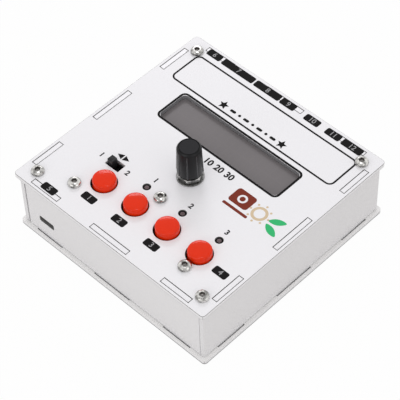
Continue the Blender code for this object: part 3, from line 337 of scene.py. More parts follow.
class Term:
    """A shader socket in an expression: each operator adds its Math node."""

    def __init__(self, nodes, socket):
        self.nodes = nodes
        self.socket = socket

    def _math(self, operation, *values):
        return self.nodes.add("ShaderNodeMath", {"operation": operation}, dict(enumerate(values)))

    def __add__(self, other):
        return self._math("ADD", self, other)

    __radd__ = __add__

    def __sub__(self, other):
        return self._math("SUBTRACT", self, other)

    def __rsub__(self, other):
        return self._math("SUBTRACT", other, self)

    def __mul__(self, other):
        return self._math("MULTIPLY", self, other)

    __rmul__ = __mul__

    def __truediv__(self, other):
        return self._math("DIVIDE", self, other)

    def __rtruediv__(self, other):
        return self._math("DIVIDE", other, self)

    def __mod__(self, other):
        return self._math("FLOORED_MODULO", self, other)

    def __gt__(self, other):
        return self._math("GREATER_THAN", self, other)

    def __lt__(self, other):
        return self._math("LESS_THAN", self, other)

    def __abs__(self):
        return self._math("ABSOLUTE", self)


class Nodes:
    """A node tree that grows through one method."""

    def __init__(self, tree):
        self.tree = tree

    def add(self, kind, settings=None, sockets=None, out=0):
        """Adds a node: its settings first, then the values or links of its sockets."""
        node = self.tree.nodes.new(kind)
        for name, value in (settings or {}).items():
            setattr(node, name, value)
        for name, value in (sockets or {}).items():
            if isinstance(value, Term):
                self.tree.links.new(value.socket, node.inputs[name])
            else:
                node.inputs[name].default_value = value
        return Term(self, node.outputs[out])

    def end(self, name, term):
        """Links a term to the surface of the tree's output node."""
        self.tree.links.new(term.socket, self.tree.nodes[name].inputs["Surface"])

    def seen_directly(self):
        """One for rays of the camera, of gloss and of glass, and zero for rays of diffuse light."""
        camera, gloss, glass = (
            self.add("ShaderNodeLightPath", out=f"Is {kind} Ray")
            for kind in ("Camera", "Glossy", "Transmission")
        )
        return camera + gloss + glass


class Finish(Nodes):
    """Builds one procedural material round a Principled shader."""

    def __init__(self, name, colour, roughness, metallic=0.0, **constants):
        self.material = bpy.data.materials.new(name)
        self.material.use_nodes = True
        super().__init__(self.material.node_tree)
        self.shader = self.tree.nodes["Principled BSDF"]
        self.constants({"Base Color": (*colour, 1), "Roughness": roughness, "Metallic": metallic})
        self.constants(constants)
        self.material.diffuse_color = (*colour, 1)

    def constants(self, values):
        """Sets what is the same all over the surface on the shader's own sockets."""
        for name, value in values.items():
            self.shader.inputs[name.replace("_", " ")].default_value = value

    def feed(self, name, term):
        """Links what changes over the surface to one of the shader's sockets."""
        self.tree.links.new(term.socket, self.shader.inputs[name])

    def point(self, scale=(1, 1, 1)):
        """Object coordinates, stretched for a pattern."""
        where = self.add("ShaderNodeTexCoord", out="Object")
        return self.add("ShaderNodeMapping", {"vector_type": "POINT"}, {"Vector": where, "Scale": scale})

    def noise(self, where, scale, detail=3.0, roughness=0.5):
        return self.add(
            "ShaderNodeTexNoise",
            {},
            {"Vector": where, "Scale": scale, "Detail": detail, "Roughness": roughness},
        )

    def axis(self, where, name):
        return self.add("ShaderNodeSeparateXYZ", {}, {"Vector": where}, out=name)

    def blend(self, factor, first, second):
        """A mix of two colours."""
        first, second = (c if isinstance(c, Term) else (*c, 1) for c in (first, second))
        sockets = {"Factor": factor, 6: first, 7: second}
        return self.add("ShaderNodeMix", {"data_type": "RGBA"}, sockets, out=2)

    def bump(self, height, strength, distance):
        normal = self.add(
            "ShaderNodeBump", {}, {"Height": height, "Strength": strength, "Distance": distance}
        )
        self.feed("Normal", normal)
        return self


def shade(colour, factor):
    """A colour made darker or lighter."""
    return tuple(min(1.0, channel * factor) for channel in colour)


def sheet_finish(name, colour):
    """Fine blasted and anodised sheet metal: a soft grain, and clouding too faint to see as spots."""
    finish = Finish(name, colour, 0.5, 0.08, Specular_IOR_Level=0.25)
    where = finish.point()
    clouds = finish.noise(where, 35, 2)
    grain = finish.noise(where, 5200, 2)
    speckle = finish.noise(where, 1500, 4, 0.7)
    pale = finish.blend(clouds, shade(colour, 0.985), shade(colour, 1.012))
    finish.feed("Base Color", finish.blend(speckle, shade(colour, 0.93), pale))
    finish.feed("Roughness", 0.44 + 0.1 * grain)
    return finish.bump(grain, 0.05, 0.04 * MM).material


def edge_strokes(finish, colour):
    """Fine strokes that run round a cut sheet, and the two shades that they leave."""
    strokes = finish.noise(finish.point((180, 180, 9000)), 1, 2)
    return strokes, finish.blend(strokes, shade(colour, 0.93), shade(colour, 1.03))


def cut_edge_finish(name, colour):
    """Routed sheet edge."""
    finish = Finish(name, colour, 0.42, 0.2)
    strokes, pale = edge_strokes(finish, colour)
    finish.feed("Base Color", pale)
    finish.feed("Roughness", 0.36 + 0.14 * strokes)
    return finish.bump(strokes, 0.08, 0.04 * MM).material


def plate_edge_finish(name, colour):
    """Cut faces of the plates, with painted shade in slots and holes, a painted contact shadow at the
    foot, and a faint painted shadow under the top plate.
    """
    finish = Finish(name, colour, 0.42, 0.2)
    strokes, pale = edge_strokes(finish, colour)
    where = finish.point()
    limit = PLATE / 2 - 0.4 * MM
    # Painted shade on the walls of the slots and holes
    inner = (abs(finish.axis(where, "X")) < limit) * (abs(finish.axis(where, "Y")) < limit)
    height = finish.axis(where, "Z")
    # A painted contact shadow along the foot of the bottom plate
    foot = (1 - inner) * (height < low("bottom_plate").z + 0.65 * MM)
    # A faint painted shadow along the underside of the top plate's edge
    under = (1 - inner) * (abs(height - low("top_plate").z) < 0.25 * MM)
    shadow = inner * 0.9 + foot * 0.65 + under * 0.3
    finish.feed("Base Color", finish.blend(shadow, pale, shade(colour, 0.06)))
    # The painted shade in the slots and holes is not metallic either
    finish.feed("Metallic", 0.2 - 0.2 * inner)
    return finish.bump(strokes, 0.08, 0.04 * MM).material


def bright_metal_finish(name, colour, roughness, strength=0.12, contrast=1.0):
    """Plated steel: turned marks, and patches of random tone; a high contrast deepens them into painted
    dark and bright reflections.
    """
    finish = Finish(name, colour, roughness, 1.0)
    where = finish.point()
    marks = finish.noise(finish.point((900, 900, 3600)), 1, 3)
    patches = 0.5 + contrast * (finish.noise(where, 620, 2) - 0.5)
    dark, light = shade(colour, 1 - 0.14 * contrast), shade(colour, 1 + 0.08 * contrast)
    finish.feed("Base Color", finish.blend(patches, dark, light))
    finish.feed("Roughness", roughness - 0.05 + 0.14 * marks)
    return finish.bump(marks, strength, 0.03 * MM).material


def moulded_finish(name, colour, roughness, grain=0.08, gloss=0.35):
    """Moulded plastic: a faint grain and slightly uneven gloss."""
    finish = Finish(name, colour, roughness, 0.0, Specular_IOR_Level=gloss)
    where = finish.point()
    texture = finish.noise(where, 3800, 2)
    flow = finish.noise(where, 160, 2)
    finish.feed("Base Color", finish.blend(flow, shade(colour, 0.93), shade(colour, 1.06)))
    finish.feed("Roughness", roughness - 0.04 + 0.1 * texture)
    return finish.bump(texture, grain, 0.03 * MM).material


def print_finish(name, colour):
    """Screen print: matt ink with the mesh's faint weave."""
    finish = Finish(name, colour, 0.6, 0.0, Specular_IOR_Level=0.08)
    where = finish.point()
    weave = finish.noise(where, 6500, 1)
    finish.feed("Base Color", finish.blend(weave, shade(colour, 0.9), shade(colour, 1.08)))
    finish.feed("Roughness", 0.55 + 0.12 * weave)
    return finish.bump(weave, 0.06, 0.02 * MM).material


def display_finish(name, colour):
    """The unlit cell: a grey polariser with the faint rows of its character cells."""
    coat = {"Coat_Weight": 0.12, "Coat_Roughness": 0.08}
    finish = Finish(name, colour, 0.22, 0.0, Specular_IOR_Level=0.3, **coat)
    where = finish.point()
    across = finish.axis(where, "X")
    along = finish.axis(where, "Y")
    cell_width = 3.55 * MM
    cell_depth = 5.95 * MM
    text_width = 56.8 * MM
    in_column = abs((across % cell_width) - cell_width / 2) < 1.5 * MM
    in_row = abs(abs(along - DISPLAY.y) - cell_depth / 2) < 2.6 * MM
    within = (abs(across) < text_width / 2) * in_column * in_row
    haze = finish.noise(where, 60, 2)
    ground = finish.blend(haze, shade(colour, 0.97), shade(colour, 1.03))
    finish.feed("Base Color", finish.blend(within * 0.05, ground, shade(colour, 0.55)))
    return finish.bump(finish.noise(where, 2500, 2), 0.02, 0.02 * MM).material


def board_finish(name, colour):
    """Circuit board under green mask, with raised tracks in two directions."""
    finish = Finish(name, colour, 0.35)
    where = finish.point()
    lanes = finish.axis(where, "X") % (1.27 * MM)
    rows = finish.axis(where, "Y") % (2.54 * MM)
    choice = finish.noise(where, 70, 0) > 0.5
    along = choice * (abs(lanes - 0.6 * MM) < 0.18 * MM)
    across = (1 - choice) * (abs(rows - 1.2 * MM) < 0.2 * MM)
    tracks = along + across
    finish.feed("Base Color", finish.blend(tracks, colour, shade(colour, 1.9)))
    finish.feed("Roughness", 0.38 - 0.12 * tracks)
    return finish.bump(tracks, 0.3, 0.03 * MM).material


def make_finishes(colours):
    """Every material, under the name that the operators ask for it by."""
    panel = tuple(colours.panel)
    red = tuple(colours.button)
    black = tuple(colours.knob)
    ink = tuple(colours.ink)
    grey = tuple(colours.display)
    return {
        "sheet": sheet_finish("Blasted sheet", panel),
        # A lighter copy of the panel sheet for the bottom plate: painted light on its lit ledge
        "base sheet": sheet_finish("Blasted base sheet, painted light", (0.885, 0.875, 0.868)),
        # Dark cut walls of the front socket's slot: painted shade
        "slot wall": cut_edge_finish("Slot wall, painted shade", (0.24, 0.235, 0.23)),
        "edge": cut_edge_finish("Routed sheet edge", shade(panel, 0.93)),
        "plate edge": plate_edge_finish("Plate's cut edge, painted shade", shade(panel, 0.98)),
        # Near-black breaks along the top plate's edges and slots: a painted shade line
        "edge line": cut_edge_finish("Broken sheet edge, painted shade", (0.11, 0.105, 0.1)),
        # Dark cut walls of the display window: painted shade
        "window edge": cut_edge_finish("Display window edge, painted shade", (0.24, 0.24, 0.25)),
        # Colour, roughness, strength of the turned marks and contrast of the patches, which at high
        # values paint reflections
        # The nickel's strong patches are painted dark and bright reflections
        "nickel": bright_metal_finish("Nickel plate", (0.56, 0.55, 0.53), 0.14, 0.12, 4.0),
        # A dark copy of the screw metal for the hexagon sockets: painted shade
        "socket": bright_metal_finish("Screw socket, painted shade", (0.2, 0.19, 0.18), 0.3),
        # A lighter copy of the nut metal for its chamfers: painted highlight
        "nut edge": bright_metal_finish("Nut edge, painted highlight", (0.42, 0.41, 0.4), 0.2, 0.12, 2.0),
        "dark nickel": bright_metal_finish("Dark nickel", (0.24, 0.24, 0.235), 0.24, 0.12, 2.5),
        "brass": bright_metal_finish("Plated brass", (0.68, 0.6, 0.44), 0.3),
        "tin": bright_metal_finish("Tinned shell", (0.6, 0.59, 0.56), 0.28),
        # A near-black copy of the tinned shell for the front socket, which sits in shade: painted shade
        "shaded tin": bright_metal_finish("Socket shell, painted shade", (0.035, 0.034, 0.034), 0.3),
        "gold": bright_metal_finish("Contact gold", (0.8, 0.58, 0.24), 0.25),
        # Colour, roughness, strength of the grain and gloss
        "cap": moulded_finish("Red cap", red, 0.1, 0.03, 0.17),
        "knob": moulded_finish("Knob black", black, 0.3, 0.06, 0.2),
        "knob disc": moulded_finish("Knob disc", shade(black, 1.7), 0.5, 0.06, 0.18),
        # The ribs are a lighter copy of the knob black: painted highlight, besides their real gloss
        "knob rib": moulded_finish("Knob rib, painted highlight", shade(black, 3.0), 0.18, 0.04, 0.6),
        "black": moulded_finish("Black housing", (0.012, 0.012, 0.013), 0.42),
        "bezel": moulded_finish("Black bezel", (0.02, 0.02, 0.021), 0.36),
        "lens": moulded_finish("Smoked lens", (0.12, 0.085, 0.09), 0.35, 0.02, 0.2),
        # Near-black for the cap flanges and the lights' shoulders: painted shade in the gaps round them
        "pit": moulded_finish("Painted gap shade", (0.004, 0.004, 0.004), 0.6, 0.04, 0.06),
        "display": display_finish("Display cell", grey),
        "board": board_finish("Board mask", (0.02, 0.13, 0.055)),
        "ink": print_finish("Black print", ink),
        "numeral": print_finish("Pale print", shade(panel, 0.4)),
        "brown ink": print_finish("Brown print", (0.2, 0.035, 0.02)),
        "sand ink": print_finish("Sand print", (0.66, 0.52, 0.35)),
        "green ink": print_finish("Green print", (0.045, 0.48, 0.17)),
    }


FINISHES = {}


def finishes(context):
    """The materials, made once and then found by name."""
    if not FINISHES:
        FINISHES.update(make_finishes(context.scene.keyer_colours))
    return FINISHES


# Geometry Nodes


class Tree(Nodes):
    """Builds one geometry node tree, whose named inputs stand between Geometry and Material."""

    def __init__(self, name, inputs):
        self.group = bpy.data.node_groups.new(name, "GeometryNodeTree")
        super().__init__(self.group)
        self.ids = {}
        new_socket = self.group.interface.new_socket
        rows = {"Geometry": ("Geometry", None), **inputs, "Material": ("Material", None)}
        for label, (kind, default) in rows.items():
            socket = new_socket(name=label, in_out="INPUT", socket_type=f"NodeSocket{kind}")
            if default is not None:
                socket.default_value = default
            self.ids[label] = socket.identifier
        new_socket(name="Geometry", in_out="OUTPUT", socket_type="NodeSocketGeometry")
        self.entry = self.group.nodes.new("NodeGroupInput")
        self.exit = self.group.nodes.new("NodeGroupOutput")

    def given(self, label):
        return Term(self, self.entry.outputs[label])

    def close(self, geometry):
        """Closes the tree with real geometry that carries the Material input."""
        real = self.add("GeometryNodeRealizeInstances", {}, {"Geometry": geometry})
        painted = self.add(
            "GeometryNodeSetMaterial", {}, {"Geometry": real, "Material": self.given("Material")}
        )
        self.group.links.new(painted.socket, self.exit.inputs["Geometry"])
        return self

    def grow(self, values, points=()):
        """The mesh that the tree makes on these points with these input values."""
        data = bpy.data.meshes.new("points")
        data.from_pydata([tuple(point) for point in points], [], [])
        carrier = linked("carrier", data)
        modifier = carrier.modifiers.new("grow", "NODES")
        modifier.node_group = self.group
        for label, value in values.items():
            modifier[self.ids[label]] = value
        mesh = evaluated(carrier)
        bmesh.ops.remove_doubles(mesh, verts=mesh.verts, dist=FINE_WELD)
        return mesh


def copies_tree():
    """A part set on each point, with its own seeded turn about the vertical."""
    tree = Tree(
        "Part on points",
        {"Part": ("Object", None), "Turn": ("Float", 0.0), "Seed": ("Int", 0)},
    )
    part = tree.add("GeometryNodeObjectInfo", {}, {"Object": tree.given("Part")}, "Geometry")
    seed = {"Seed": tree.given("Seed")}
    share = tree.add("FunctionNodeRandomValue", {"data_type": "FLOAT"}, seed, 1)
    euler = tree.add("ShaderNodeCombineXYZ", {}, {"Z": share * tree.given("Turn")})
    turn = tree.add("FunctionNodeEulerToRotation", {}, {0: euler})
    copies = tree.add(
        "GeometryNodeInstanceOnPoints",
        {},
        {"Points": tree.given("Geometry"), "Instance": part, "Rotation": turn},
    )
    return tree.close(copies)


def copied(mesh, spots, material, turn=0.0, seed=1):
    """The mesh set on each spot, with a random turn of up to this angle."""
    part = raw_object("part", mesh)
    values = {"Part": part, "Turn": turn, "Seed": seed, "Material": material}
    whole = copies_tree().grow(values, spots)
    bpy.data.objects.remove(part)
    return whole


def ribs_tree():
    """Round ribs that lean with a tapered knob, evenly spaced about its axis."""
    tree = Tree(
        "Knob ribs",
        {
            "Count": ("Int", 8),
            "Radius": ("Float", 0.005),
            "Rib Radius": ("Float", 0.0003),
            "Rib Height": ("Float", 0.01),
            "Taper": ("Float", 1.0),
            "Lean": ("Float", 0.0),
        },
    )
    ring = tree.add(
        "GeometryNodeCurvePrimitiveCircle",
        {"mode": "RADIUS"},
        {"Resolution": tree.given("Count"), "Radius": tree.given("Radius")},
        "Curve",
    )
    points = tree.add("GeometryNodeCurveToPoints", {"mode": "EVALUATED"}, {"Curve": ring}, "Points")
    rib = tree.add(
        "GeometryNodeMeshCone",
        {"fill_type": "TRIANGLE_FAN"},
        {
            "Vertices": 14,
            "Radius Bottom": tree.given("Rib Radius"),
            "Radius Top": tree.given("Rib Radius") * tree.given("Taper"),
            "Depth": tree.given("Rib Height"),
        },
        "Mesh",
    )
    soft = tree.add("GeometryNodeSetShadeSmooth", {}, {"Geometry": rib})
    angle = tree.add("GeometryNodeInputIndex") * (math.tau / tree.given("Count"))
    euler = tree.add("ShaderNodeCombineXYZ", {}, {"Y": tree.given("Lean") * -1.0, "Z": angle})
    turn = tree.add("FunctionNodeEulerToRotation", {}, {0: euler})
    ribs = tree.add(
        "GeometryNodeInstanceOnPoints",
        {},
        {"Points": points, "Instance": soft, "Rotation": turn},
    )
    return tree.close(ribs)


def thread_tree():
    """A screw thread: a three-sided ridge wound round a bush."""
    tree = Tree(
        "Bush thread",
        {
            "Radius": ("Float", 0.0035),
            "Turns": ("Float", 8.0),
            "Height": ("Float", 0.006),
            "Ridge": ("Float", 0.0003),
        },
    )
    spiral = tree.add(
        "GeometryNodeCurveSpiral",
        {},
        {
            "Resolution": 48,
            "Rotations": tree.given("Turns"),
            "Start Radius": tree.given("Radius"),
            "End Radius": tree.given("Radius"),
            "Height": tree.given("Height"),
        },
    )
    ridge = tree.add(
        "GeometryNodeCurvePrimitiveCircle",
        {"mode": "RADIUS"},
        {"Resolution": 4, "Radius": tree.given("Ridge")},
        "Curve",
    )
    wound = tree.add(
        "GeometryNodeCurveToMesh", {}, {"Curve": spiral, "Profile Curve": ridge, "Fill Caps": True}
    )
    return tree.close(wound)


def contacts_tree():
    """Flat spring contacts side by side in a socket's tongue."""
    tree = Tree(
        "Contact row",
        {
            "Count": ("Int", 5),
            "Pitch": ("Float", 0.00065),
            "Width": ("Float", 0.0004),
            "Length": ("Float", 0.003),
            "Thickness": ("Float", 0.0001),
        },
    )
    offset = tree.add("ShaderNodeCombineXYZ", {}, {"X": tree.given("Pitch")})
    line = tree.add(
        "GeometryNodeMeshLine",
        {"mode": "OFFSET"},
        {"Count": tree.given("Count"), "Offset": offset},
        "Mesh",
    )
    size = tree.add(
        "ShaderNodeCombineXYZ",
        {},
        {"X": tree.given("Width"), "Y": tree.given("Thickness"), "Z": tree.given("Length")},
    )
    strip = tree.add("GeometryNodeMeshCube", {}, {"Size": size}, "Mesh")
    row = tree.add("GeometryNodeInstanceOnPoints", {}, {"Points": line, "Instance": strip})
    return tree.close(row)


# User settings


class KeyerSizes(bpy.types.PropertyGroup):
    """Sizes of the fine surface that a user may change."""

    sheet_edge: FloatProperty(
        name="Sheet edge",
        description="Width of the small break along each cut edge of the sheets",
        default=0.12 * MM,
        min=0.02 * MM,
        unit="LENGTH",
    )
    hole_clearance: FloatProperty(
        name="Hole clearance",
        description="Gap all round between a piece and its hole in a sheet",
        default=0.2 * MM,
        unit="LENGTH",
    )
    button_hole: FloatProperty(
        name="Button hole radius",
        description="Radius of the four holes round the button caps",
        default=5.4 * MM,
        unit="LENGTH",
    )
    window_corner: FloatProperty(
        name="Window corner radius",
        description="Radius of the display window's corners",
        default=1.9 * MM,
        unit="LENGTH",
    )
    print_height: FloatProperty(
        name="Print height",
        description="How far the print stands off the plate",
        default=0.02 * MM,
        unit="LENGTH",
    )
    rib_count: IntProperty(
        name="Knob ribs",
        description="Number of fine ribs round the knob",
        default=8,
        min=3,
    )


class KeyerColours(bpy.types.PropertyGroup):
    """Colours that a user may change."""

    panel: FloatVectorProperty(
        name="Panel",
        description="Colour of the metal sheets",
        subtype="COLOR",
        default=(0.84, 0.832, 0.848),
        min=0,
        max=1,
    )
    button: FloatVectorProperty(
        name="Button cap",
        description="Colour of the round button caps",
        subtype="COLOR",
        default=(0.755, 0.028, 0.003),
        min=0,
        max=1,
    )
    knob: FloatVectorProperty(
        name="Knob",
        description="Colour of the knob",
        subtype="COLOR",
        default=(0.005, 0.005, 0.006),
        min=0,
        max=1,
    )
    ink: FloatVectorProperty(
        name="Ink",
        description="Colour of the badges and lines",
        subtype="COLOR",
        default=(0.007, 0.0065, 0.0065),
        min=0,
        max=1,
    )
    display: FloatVectorProperty(
        name="Display",
        description="Colour of the unlit display",
        subtype="COLOR",
        default=(0.162, 0.148, 0.151),
        min=0,
        max=1,
    )


# Panels


# Middle and length of the tabs along each side
TABS = ((-35.7 * MM, 14.3 * MM), (0, 19.5 * MM), (35.7 * MM, 14.3 * MM))
# Places of a sheet's materials: its faces, cut sides, broken edges, window walls and window rims
FACE, CUT, BROKEN, WALL, RIM = range(5)


def slot_outlines(clearance, outward=0.0):
    """The twelve slots for the wall tabs, each wider by the clearance, and by outward on its far side."""
    outlines = []
    for along, length in TABS:
        for side in (-1, 1):
            line = side * (WALL_OUTER - SHEET / 2 + outward / 2)
            size = (length + 2 * clearance, SHEET + 2 * clearance + outward)
            outlines.append(rectangle(*size, (along, line)))
            outlines.append(rectangle(size[1], size[0], (line, along)))
    return outlines


def machined(mesh, windows=()):
    """Gives the cut faces, the broken edges and the walls of the windows their materials."""
    for face in mesh.faces:
        level = abs(face.normal.z)
        spot = face.calc_center_median()
        walls = [
            material
            for centre, size, material in windows
            if all(abs(spot[axis] - centre[axis]) < size[axis] / 2 + 0.5 * MM for axis in (0, 1))
        ]
        if level > 0.97:
            face.material_index = FACE
        elif level > 0.1 and (walls or face.normal.z > 0):
            face.material_index = RIM if walls else BROKEN
        else:
            face.material_index = walls[0] if walls else CUT
    return mesh


class KEYER_OT_plates(bpy.types.Operator):
    """Makes the top and bottom plates, with broken edges round every hole"""

    bl_idname = "keyer.plates"
    bl_label = "Plates"

    def execute(self, context):
        sizes = context.scene.keyer_sizes
        made = finishes(context)
        outer = rounded(PLATE, PLATE, 1.5 * MM)
        screw_hole = 1.7 * MM
        light_hole = 1.65 * MM
        bush_hole = 3.75 * MM
        # The caps stand a little off the middle of their holes
        cap_shift = 0.15 * MM
        window = (63.9 * MM, 15.2 * MM)
        slide = (7.2 * MM, 4.45 * MM)
        holes = slot_outlines(sizes.hole_clearance)
        holes += [circle(screw_hole, 32, middle(name)) for name in CORNER_SCREWS + BOARD_SCREWS]
        for cap in map(middle, CAPS):
            holes.append(circle(sizes.button_hole, 72, (cap.x - cap_shift, cap.y - cap_shift)))
        holes += [circle(light_hole, 32, middle(name)) for name in LIGHTS]
        holes.append(circle(bush_hole, 48, ENCODER))
        holes.append(rounded(*window, sizes.window_corner, DISPLAY))
        holes.append(rectangle(*slide, SLIDE))
        under = slot_outlines(0.12 * MM, 0.38 * MM)
        under += [circle(screw_hole, 32, middle(name)) for name in CORNER_SCREWS]
        # The display window's walls take the window edge, a painted shade
        panes = ((DISPLAY, window, WALL), (SLIDE, slide, RIM))
        for name, outlines, windows, face, line in (
            # The top plate's broken edges take the edge line, a painted shade
            ("top_plate", holes, panes, "sheet", "edge line"),
            # The bottom plate's faces and broken edges take the lighter base sheet, a painted light
            ("bottom_plate", under, (), "base sheet", "base sheet"),
        ):
            sheet = machined(sheet_mesh([outer, *outlines], SHEET, sizes.sheet_edge, 1), windows)
            looks = [made[look] for look in (face, "plate edge", line, "window edge", "edge")]
            place = (0, 0, middle(name).z)
            settle(f"{name}_sheet", sheet, looks, "case", [name], place, sharp=20)
        return {"FINISHED"}


def wall_outline(length, foot, head, reach, left_gap, right_gap):
    """A wall from outside, with three tabs on each long side; the gaps shorten its two ends."""
    lower = [(left_gap - length / 2, foot)]
    for along, tab in TABS:
        left, right = along - tab / 2, along + tab / 2
        lower += [(left, foot), (left, foot - reach), (right, foot - reach), (right, foot)]
    lower.append((length / 2 - right_gap, foot))
    upper = [(x, head + (foot - y)) for x, y in reversed(lower)]
    return lower + upper


class KEYER_OT_walls(bpy.types.Operator):
    """Makes the four walls, whose tabs end flush in the plates, with their socket openings"""

    bl_idname = "keyer.walls"
    bl_label = "Walls"

    def execute(self, context):
        sizes = context.scene.keyer_sizes
        made = finishes(context)
        centre = middle("front_wall").z
        reach = SHEET + 0.2 * MM
        head = span("front_wall").z / 2 - reach
        slot = (8.35 * MM, 3.1 * MM, 0.8 * MM)
        host_mouth = (13.6 * MM, 6.2 * MM, 0.3 * MM)
        jack_hole = 2.7 * MM
        front = middle("front_usb_socket")
        rear = middle("rear_usb_socket")
        host = middle("usb_host_socket")
        mouth = (front.x, front.z - centre)
        back_holes = [rounded(*slot, (-rear.x, rear.z - centre))]
        back_holes.append(rounded(*host_mouth, (-host.x, host.z - centre), 4))
        back_holes += [circle(jack_hole, 48, (-jack.x, jack.z - centre)) for jack in map(middle, JACKS)]
        front_hole = rounded(*slot, mouth)
        # The walls of the front slot take the dark slot wall, a painted shade
        pane = (mouth, slot, WALL)
        line = WALL_OUTER - SHEET / 2
        for name, spot, turn, holes, panes, gaps in (
            ("front_wall", (0, -line), FACING_FRONT, [front_hole], [pane], (0.3 * MM, -0.2 * MM)),
            ("back_wall", (0, line), FACING_BACK, back_holes, (), (0, 0)),
            ("left_wall", (-line, 0), FACING_LEFT, (), (), (0, 0)),
            ("right_wall", (line, 0), FACING_RIGHT, (), (), (0, 0)),
        ):
            length = max(span(name).xy)
            outline = wall_outline(length, -head, head, reach, *gaps)
            wall = machined(sheet_mesh([outline, *holes], SHEET, sizes.sheet_edge, 1), panes)
            looks = [made[look] for look in ("sheet", "edge", "edge", "slot wall", "edge")]
            place = (*spot, centre)
            settle(f"{name}_sheet", wall, looks, "case", [name], place, turn, sharp=20)
        return {"FINISHED"}


class KEYER_OT_screws(bpy.types.Operator):
    """Sets button head screws with hexagon sockets in both plates"""

    bl_idname = "keyer.screws"
    bl_label = "Screws"

    def execute(self, context):
        made = finishes(context)
        head = 1.65 * MM
        edge = 0.12 * MM
        floor = head - 1.0 * MM
        ring = 1.64 * MM
        swell = 1.11 * MM
        socket = hexagon(2.0 * MM)
        profile = [(0, floor - 0.25 * MM), (0.55 * MM, floor), (socket, floor + 0.02 * MM)]
        profile += [(socket, head - edge), (hexagon(2.25 * MM), head)]
        profile += arc((ring, head - edge), edge, 90, 60, 2)
        for angle in [math.radians(75 - 15 * step) for step in range(6)]:
            height = 0.35 * MM + 1.24 * MM * math.sin(angle)
            profile.append((ring + swell * math.cos(angle), height))
        profile += arc((ring + swell - edge, edge), edge, 0, -90, 3)
        shank = 1.45 * MM
        tip = -6.0 * MM
        profile += [(shank, 0), (shank, tip + 0.4 * MM), (shank - 0.4 * MM, tip), (0, tip)]
        metals = [made["nickel"], made["socket"]]

        def set_screws(spots, seed):
            """Screws on these spots, with the second metal, a painted shade, inside each hexagon socket.
            """
            mesh = copied(turned_mesh(profile, 72), spots, made["nickel"], math.pi, seed)
            for face in mesh.faces:
                spot = face.calc_center_median()
                near = min(spots, key=lambda place: math.dist(place[:2], spot[:2]))
                inside = math.dist(near[:2], spot[:2]) < 1.2 * MM
                face.material_index = int(inside and near[2] < spot.z < near[2] + head - 0.03 * MM)
            return mesh

        upper = CORNER_SCREWS + BOARD_SCREWS
        mesh = set_screws([(*middle(name).xy, high(name).z - head) for name in upper], 7)
        settle("top_screws", mesh, metals, "case", upper)
        under = [middle(name) for name in UNDER_SCREWS]
        mesh = set_screws([(spot.x, -spot.y, -head) for spot in under], 4)
        for vert in mesh.verts:
            vert.co.z = max(vert.co.z, -head - 5.0 * MM)
        settle("bottom_screws", mesh, metals, "case", UNDER_SCREWS, turn=UPSIDE_DOWN)
        return {"FINISHED"}


class KEYER_OT_buttons(bpy.types.Operator):
    """Moulds the four round caps with a low dome and a soft rim"""

    bl_idname = "keyer.buttons"
    bl_label = "Button caps"

    def execute(self, context):
        made = finishes(context)
        foot = low(CAPS[0]).z
        top = high(CAPS[0]).z - foot
        flange = 3.0 * MM
        lip = flange + 1.0 * MM
        under = top - 1.4 * MM
        stem = 1.75 * MM
        dome = 30.0 * MM

        def flatted(angle):
            """The flange's polar radius, cut flat on two sides."""
            return min(6.0 * MM, 5.2 * MM / max(abs(math.sin(angle)), 0.2))

        reaches = [0.5 * MM * step for step in range(8)]
        profile = [(reach, top - reach**2 / (2 * dome)) for reach in reaches]
        profile += arc((3.88 * MM, top - 1.21 * MM), 0.95 * MM, 82, 6, 14)
        profile += [(4.86 * MM, top - 2.4 * MM), (4.95 * MM, lip), (flatted, lip), (flatted, flange)]
        profile += [(4.0 * MM, flange), (3.5 * MM, under), (stem, under), (stem, 0), (0, 0)]
        looks = [made["cap"], made["pit"]]
        for number, name in enumerate(CAPS, 1):
            cap = turned_mesh(profile, 96)
            # The flange and the skirt below it take near-black, a painted shade in the gap round the cap
            for face in cap.faces:
                face.material_index = int(face.calc_center_median().z < lip + 0.01 * MM)
            place = (*middle(name).xy, foot)
            settle(f"{name}_moulding", cap, looks, f"button_{number}", [name], place)
        return {"FINISHED"}


class KEYER_OT_knob(bpy.types.Operator):
    """Turns the knob, its top disc and its leaning ribs"""

    bl_idname = "keyer.knob"
    bl_label = "Knob"

    def execute(self, context):
        made = finishes(context)
        foot = low("encoder_knob").z
        top = high("encoder_knob").z - foot
        disc = top - 0.08 * MM
        groove = top - 0.6 * MM
        shoulder = top - 0.9 * MM
        profile = [(0, disc), (3.84 * MM, disc), (3.9 * MM, top - 0.14 * MM)]
        profile += [(3.92 * MM, groove), (4.12 * MM, groove), (4.14 * MM, top - 0.04 * MM)]
        profile += [(4.2 * MM, top), (4.54 * MM, top - 0.3 * MM), (4.84 * MM, shoulder + 0.12 * MM)]
        profile += [(4.92 * MM, shoulder - 0.05 * MM), (4.95 * MM, shoulder - 0.25 * MM)]
        profile += [(5.26 * MM, 0.35 * MM), (5.18 * MM, 0.1 * MM), (5.0 * MM, 0)]
        skirt = 4.0 * MM
        skirt_roof = 2.5 * MM
        bore = 3.2 * MM
        bore_roof = 9.0 * MM
        profile += [(skirt, 0), (skirt, skirt_roof), (bore, skirt_roof)]
        profile += [(bore, bore_roof), (0, bore_roof)]
        mesh = turned_mesh(profile, 128)
        for face in mesh.faces:
            face.material_index = int(face.calc_center_median().z > top - 0.1 * MM)
        looks = [made["knob"], made["knob disc"]]
        place = (*ENCODER.xy, foot)
        settle("knob_body", mesh, looks, "knob", ["encoder_knob"], place)
        rib_height = shoulder - 0.45 * MM
        ribs = ribs_tree().grow(
            {
                "Count": context.scene.keyer_sizes.rib_count,
                "Radius": 5.12 * MM,
                "Rib Radius": 0.4 * MM,
                "Rib Height": rib_height,
                "Taper": 0.6,
                "Lean": math.atan2(0.3 * MM, rib_height),
                "Material": made["knob rib"],
            }
        )
        place = (*ENCODER.xy, foot + 0.1 * MM)
        turn = (0, 0, math.radians(-56))
        settle("knob_ribs", ribs, made["knob rib"], "knob", (), place, turn)
        return {"FINISHED"}


